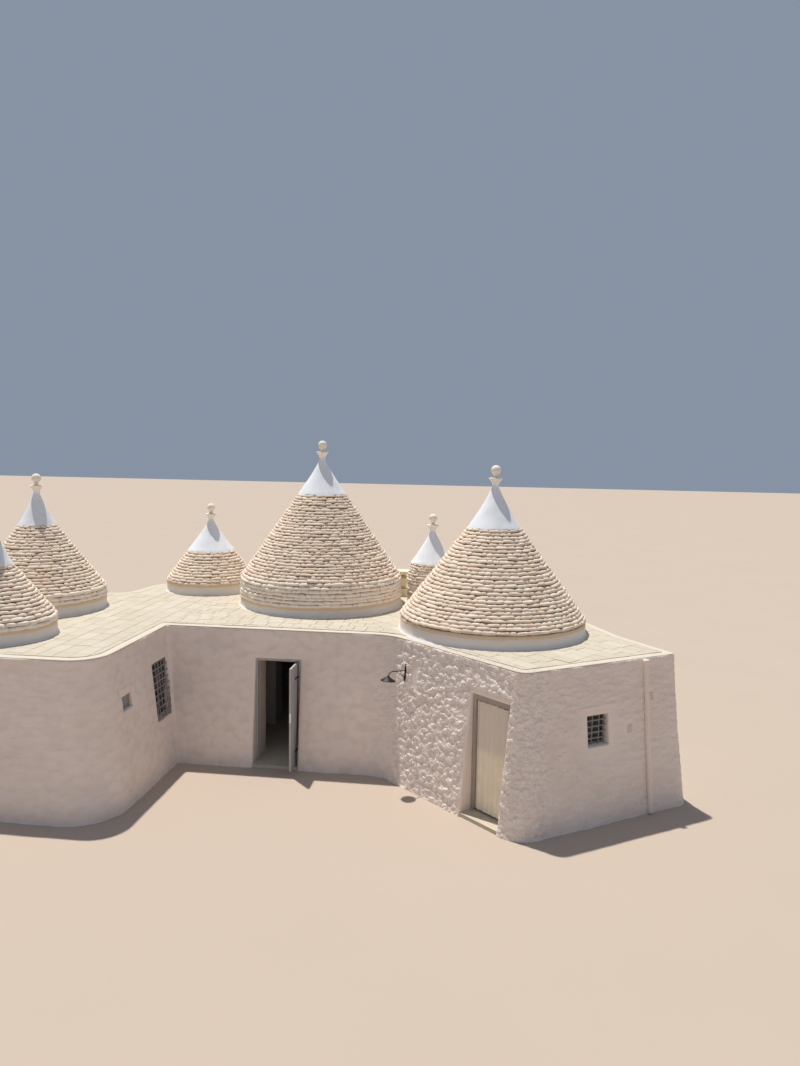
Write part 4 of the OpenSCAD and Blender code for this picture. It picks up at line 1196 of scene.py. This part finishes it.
def door_leaf():
    """The leaf: a boarded panel between stiles and rails, standing open on its pins"""
    pin_x = -DOOR_LEFT + DOOR_W - FRAME_W
    pin_y = -COURT_D - DOOR_OUT + DOOR_BACK - 2 * LEAF_GAP - STRAP_T
    x1, y1 = pin_x - STRAP_T - LEAF_GAP, pin_y - LEAF_GAP
    x0, y0 = x1 - LEAF_T, y1 - LEAF_W
    z0, z1 = FLOOR_T + LEAF_GAP, DOOR_H - FRAME_W - LEAF_GAP
    stile, rail, foot, middle = 0.085, 0.11, 0.16, 0.80
    marks = (z0, z0 + foot, z0 + middle, z0 + middle + rail, z1 - rail, z1)
    boxes = [((x0, y0, z0), (x1, y0 + stile, z1)), ((x0, y1 - stile, z0), (x1, y1, z1))]
    boxes += [((x0 + 0.001, y0 + stile, a), (x1 - 0.001, y1 - stile, b))
              for a, b in zip(marks[::2], marks[1::2])]
    wide = (y1 - y0 - 2 * stile) / 3
    for a, b in zip(marks[1::2], marks[2::2]):
        for k in range(3):
            y = y0 + stile + k * wide
            boxes.append(((x0 + 0.010, y + 0.001, a), (x1 - 0.010, y + wide - 0.001, b)))
    heap = Heap()
    heap.boxes(boxes, 0.003)
    heap.build("leaf_joinery", LEAF_WOOD, "grey_wood", body=LEAF, smooth=False,
               replaces=["door_leaf"])
    heap = Heap()
    heap.boxes([((x0 + 0.004, y0 - 0.003, 0.98), (x1 - 0.004, y0 + 0.002, 1.16))], 0.001)
    heap.build("latch_plate", BRIGHT, "whitewash", body=LEAF, smooth=False)
    leaf_straps(pin_x, pin_y, x1)


def leaf_straps(pin_x, pin_y, x1):
    """Two strap hinges, each an eye on its pin and a nailed strap on the leaf's face at x1"""
    eye, eye_faces = lathe([(0.0051, 0), (0.010, 0), (0.010, EYE_H), (0.0051, EYE_H), (0.0051, 0)], 24)
    nail, nail_faces = lathe([(0.0002, 0.0045), (0.004, 0.0035), (0.006, 0.0)], 12)
    heap = Heap()
    clear = DOOR_H - FLOOR_T - FRAME_W
    for z in (FLOOR_T + LOW_PIN + EYE_UP, FLOOR_T + clear - TOP_PIN + EYE_UP):
        heap.put(eye + np.array([pin_x, pin_y, z]), eye_faces)
        heap.boxes([((x1, pin_y - 0.18, z + 0.002), (x1 + STRAP_T, pin_y - 0.004, z + 0.034))],
                   0.0015)
        for along in (0.16, 0.10, 0.045):
            at = np.array([x1 + STRAP_T, pin_y - along, z + 0.018])
            heap.put(nail[:, [2, 1, 0]] + at, nail_faces)
    heap.build("leaf_straps", IRON, "grey_wood", body=LEAF, sharp=40)


def curtain():
    """A gathered curtain hung from its rod in the slanting wall's doorway"""
    near, far, head = CURTAIN_FRAME
    inner = CURTAIN_W - near - far - 0.014
    z0, z1 = FLOOR_T + 0.03, DOOR_H - head - 0.010
    middle, folds = CURTAIN_BACK + FRAME_D / 2, 6.5
    cols, rows = 181, 46
    s = np.linspace(0, 1, cols)
    grid = np.zeros((rows, cols, 3))
    for i, t in enumerate(np.linspace(0, 1, rows)):
        swing = 0.0115 * (0.75 + 0.25 * math.sin(2.1 * t + 0.6))
        phase = 2 * math.pi * folds * (s + 0.022 * np.sin(9 * s + 1.3 * t) + 0.010 * np.sin(17 * s))
        depth = swing * np.sin(phase) * (0.8 + 0.35 * np.sin(3.1 * s * math.pi + 0.5))
        depth += 0.004 * np.sin(5 * s + 3 * t)
        scallop = 0.016 * np.abs(np.sin(math.pi * s * 5)) * max(0, 1 - t * 14)
        grid[i, :, 0] = near + 0.007 + inner * s
        grid[i, :, 1] = middle + depth
        grid[i, :, 2] = z1 - (z1 - z0) * t - scallop
    at = spot(SLANT, CURTAIN_AT, 0, DOOR_OUT)
    faces = [f[::-1] for f in quads(rows, cols)]
    piece = build("curtain_cloth", at(grid.reshape(-1, 3)), faces, CLOTH, "linen",
                  replaces=["door_curtain"])
    ends = (near - 0.002, CURTAIN_W / 2, CURTAIN_W - far + 0.002)
    rod, faces = tube([(x, middle, z1 - 0.005) for x in ends], 0.005, 10)
    build("curtain_rod", at(rod), faces, IRON, "black_iron", sharp=40)


# Windows
def at_opening(key):
    """An opening's width, height and the place of its lower left corner"""
    wall, s0, s1, z0, z1 = OPENINGS[key]
    return s1 - s0, z1 - z0, spot(wall, s0, z0, float(lean(z0)))


def window_frame(w, h, back):
    """Posts, sill and head of a wooden frame"""
    bar, deep = WINDOW_BAR, back + WINDOW_D
    return [((CLEAR, back, 0), (bar, deep, h)), ((w - bar, back, 0), (w - CLEAR, deep, h)),
            ((bar, back, 0), (w - bar, deep, bar)), ((bar, back, h - bar), (w - bar, deep, h))]


def window(name, key, post, **stands_for):
    """A wooden window with its pane, with or without a middle post"""
    w, h, at = at_opening(key)
    bar, back = WINDOW_BAR, WINDOW_BACK
    boxes = window_frame(w, h, back)
    if post:
        boxes.append(((w / 2 - 0.02, back + 0.004, bar), (w / 2 + 0.02, back + 0.041, h - bar)))
    heap = Heap(at)
    heap.boxes(boxes, 0.004)
    heap.build(f"{name}_frame", BROWN_WOOD, "grey_wood", smooth=False, replaces=[name])
    heap = Heap(at)
    heap.boxes([((bar - 0.004, back + 0.018, bar - 0.004),
                 (w - bar + 0.004, back + 0.024, h - bar + 0.004))], 0.001)
    heap.build(f"{name}_pane", GLASS, "glass", smooth=False, **stands_for)


def grille(name, key, upright, level, bar, depth, slant=0.0):
    """Upright round bars and level square ones, as deep in the wall all the way or slanting"""
    w, h, at = at_opening(key)
    heap = Heap(at)
    for k in range(1, upright + 1):
        x = w * k / (upright + 1)
        heap.put(*tube([(x, depth + slant * y, y) for y in (0.0, h / 2, h)], bar / 2, 8))
    for k in range(1, level + 1):
        y = h * k / (level + 1)
        into = depth + slant * y
        heap.boxes([((0.0, into - bar / 2, y - bar / 2), (w, into + bar / 2, y + bar / 2))], 0.002)
    heap.build(name, PALE_IRON, "black_iron", sharp=40)


def hatch():
    """The shutter of three boards in its frame"""
    w, h, at = at_opening("hatch")
    bar, back = WINDOW_BAR, WINDOW_BACK / 2
    step = (w - 2 * bar) / 3
    boxes = window_frame(w, h, back)
    boxes += [((bar + k * step + 0.001, back + 0.010, bar),
               (bar + (k + 1) * step - 0.001, back + 0.035, h - bar)) for k in range(3)]
    heap = Heap(at)
    heap.boxes(boxes, 0.003)
    heap.build("hatch_boards", GREY_WOOD, "grey_wood", smooth=False, replaces=["hatch_shutter"])


# Chimney, lamp, vents and pipe
def settled(points, faces):
    """The same mesh with its points and faces in order of place, which no run changes"""
    order = np.lexsort(points.round(6).T)
    rank = np.argsort(order)
    return points[order], sorted(tuple(int(rank[i]) for i in face) for face in faces)


def rough_block(low, high, cells, seed):
    """A bevelled block with an uneven surface"""
    bm = bmesh.new()
    bmesh.ops.create_cube(bm, size=1.0)
    bmesh.ops.bevel(bm, geom=list(bm.edges), offset=0.03, segments=1, affect="EDGES")
    bmesh.ops.subdivide_edges(bm, edges=[e for e in bm.edges if e.calc_length() > 0.3],
                              cuts=cells, use_grid_fill=True)
    bm.verts.ensure_lookup_table()
    points = np.array([tuple(v.co) for v in bm.verts])
    faces = [tuple(v.index for v in f.verts) for f in bm.faces]
    bm.free()
    points, faces = settled(points, faces)
    low, high = np.array(low), np.array(high)
    points = (points + 0.5) * (high - low) + low
    centre = (low + high) / 2
    ahead = (points - centre) / np.linalg.norm(points - centre, axis=1, keepdims=True)
    points = points + ahead * (lumps(points, 0.09, seed) * 0.005
                               + lumps(points, 0.03, seed + 1) * 0.002)[:, None]
    return points, faces


def chimney():
    """Two courses of blocks and a lid, with a set-back core showing between them, the core darkened as
    painted shade
    """
    heap = Heap()

    def course(half, z0, z1, cells, dark, seed):
        x, y = CHIMNEY_AT
        heap.put(*rough_block((x - half, y - half, z0), (x + half, y + half, z1), cells, seed),
                 dark=dark)

    z = WALL_H
    for k in range(3):
        high = SLOT_H if k == 2 else BLOCK_H
        course(CHIMNEY_W / 2, z, z + high, 7, 0.0, 61 + k)
        z += high
        if k < 2:
            # the core's dark share is painted shade in the recess
            course(CHIMNEY_W / 2 - SLOT_IN, z - 0.01, z + SLOT_H + 0.01, 3, 0.75, 71 + k)
            z += SLOT_H
    heap.build("chimney_blocks", TUFA, "tufa", replaces=["chimney"], sharp=50)


def lamp():
    """A swan-neck lamp with a shallow shade on a long back plate"""
    mid = LAMP_Z + PLATE_H / 2
    heap = Heap(spot(SLANT, LAMP_AT, mid, float(lean(mid)) + 0.014, tilted=True))
    heap.boxes([((-PLATE_W / 2, -0.008, -PLATE_H / 2), (PLATE_W / 2, 0, PLATE_H / 2))], 0.003)
    neck = [(0, -0.004, 0.03), (0, -0.12, 0.032), (0, -0.24, 0.034), (0, -0.30, 0.033)]
    for k in range(1, 8):
        w = math.pi / 2 * k / 7
        neck.append((0, -0.30 - 0.088 * math.sin(w), -0.055 + 0.088 * math.cos(w)))
    heap.put(*tube(neck, 0.0085, 10))
    brace = [(0, -0.004, -0.10)]
    brace += [(0, -0.02 - 0.20 * t, -0.09 + 0.118 * t ** 0.8) for t in (k / 8 for k in range(9))]
    heap.put(*tube(brace, 0.005, 8))
    shade_y = -0.388
    profile = [(0.0004, 0.004), (0.020, 0.004), (0.024, -0.004), (0.026, -0.012), (0.036, -0.02),
               (0.060, -0.032), (0.095, -0.050), (0.122, -0.066), (0.130, -0.073), (0.1315, -0.077),
               (0.128, -0.077), (0.120, -0.070), (0.092, -0.055), (0.05, -0.037), (0.0004, -0.03)]
    shade, faces = lathe(profile, 40)
    heap.put(shade + np.array([0, shade_y, -0.048]), [f[::-1] for f in faces])
    bulb, faces = lathe([(0.0004, -0.078), (0.02, -0.072), (0.027, -0.058), (0.022, -0.042),
                         (0.014, -0.03)], 20)
    heap.put(bulb + np.array([0, shade_y, -0.05]), faces)
    nail, faces = lathe([(0.0002, 0.004), (0.005, 0.003), (0.007, 0.0)], 12)
    for z in (-0.12, 0.12):
        heap.put(nail[:, [0, 2, 1]] * np.array([1, -1, 1]) + np.array([0, -0.008, z]), faces)
    heap.build("swan_neck_lamp", IRON, "black_iron", replaces=["wall_lamp"], sharp=45)


def vents():
    """Two plates with a raised rim and six slats before a back darkened with painted shade"""
    x, h, rim = VENT_W / 2, VENT_H, 0.012
    rims = [((-x, -rim, 0), (-x + rim, 0, h)), ((x - rim, -rim, 0), (x, 0, h)),
            ((-x, -rim, 0), (x, 0, rim)), ((-x, -rim, h - rim), (x, 0, h))]
    back = [((-x, -0.004, 0), (x, 0, h))]
    slats = [((-x + rim, -0.010, 0.02 + k * 0.0155), (x - rim, -0.003, 0.027 + k * 0.0155))
             for k in range(6)]
    heap = Heap()
    for s, z in VENTS:
        heap.at = spot(GABLE, s, z, float(lean(z)) + 0.012, tilted=True)
        # the back behind the slats is painted darker, as shade
        for boxes, hollow in ((rims, 0.0), (back, 1.0), (slats, 0.0)):
            for low, high in boxes:
                heap.put(*soft_box(low, high, 0.0012), rough=0.0, hollow=hollow)
    heap.build("vent_grilles", WHITE, "whitewash", smooth=False, replaces=["vent_plates"])


def downpipe():
    """The plastered pipe down the gable wall, swollen at its joints, under its outlet box"""
    sides, rings, high, swell, joints = 28, 70, WALL_H - 0.11, 0.006, (0.55, 1.35, 2.1)
    at = spot(GABLE, PIPE_AT, 0.015, float(lean(0.0)), tilted=True)
    a = np.arange(sides) * 2 * math.pi / sides
    rows = []
    for z in np.linspace(0.0, high, rings):
        r = PIPE_R + (swell if any(abs(z - joint) < 0.03 for joint in joints) else 0.0)
        rows.append(np.stack([r * np.cos(a), -PIPE_R + r * np.sin(a), a * 0 + z], -1))

    def uneven(points):
        p = points.copy()
        p[:, :2] += np.column_stack([lumps(p + 3, 0.09, 91), lumps(p + 9, 0.09, 92)]) * 0.0025
        return at(p)

    heap = Heap(uneven)
    heap.put(np.concatenate(rows), quads(rings, sides, wrap=True), rough=0.1)
    heap.put(*soft_box((-0.050, -0.088, high - 0.01), (0.050, 0.02, high + 0.085), 0.018), rough=0.1)
    heap.build("plastered_pipe", WHITE, "whitewash", replaces=["downpipe"], sharp=50)


# Looks of the CAD nodes that stay in sight; any other has the drum's plaster
STAY = {"floor": PAVING, "entrance_pier": INSIDE, "roof_right": MORTAR, "roof_centre": MORTAR,
        "roof_left": MORTAR, "door_frame": PALE_WOOD, "curtain_frame": TAUPE_WOOD}


def dress_cad():
    for name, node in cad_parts.items():
        if not node.hide_render:
            node.data.materials.clear()
            node.data.materials.append(STAY.get(name, DRUM))


add_camera()
add_light()
walls()
add_stage()
for name in CONES:
    stone_cone(name)
    bedding(name)
    cap_piece(name)
    drum_skin(name)
wall_foot()
paving()
door_frames()
door_leaf()
curtain()
window("front_window", "window", False, replaces=["window_panes"])
window("court_window", "court_window", True)
grille("front_window_bars", "window", 2, 4, 0.016, 0.10)
grille("court_window_bars", "court_window", 4, 8, 0.018, -0.002, BATTER)
hatch()
chimney()
lamp()
vents()
downpipe()
dress_cad()
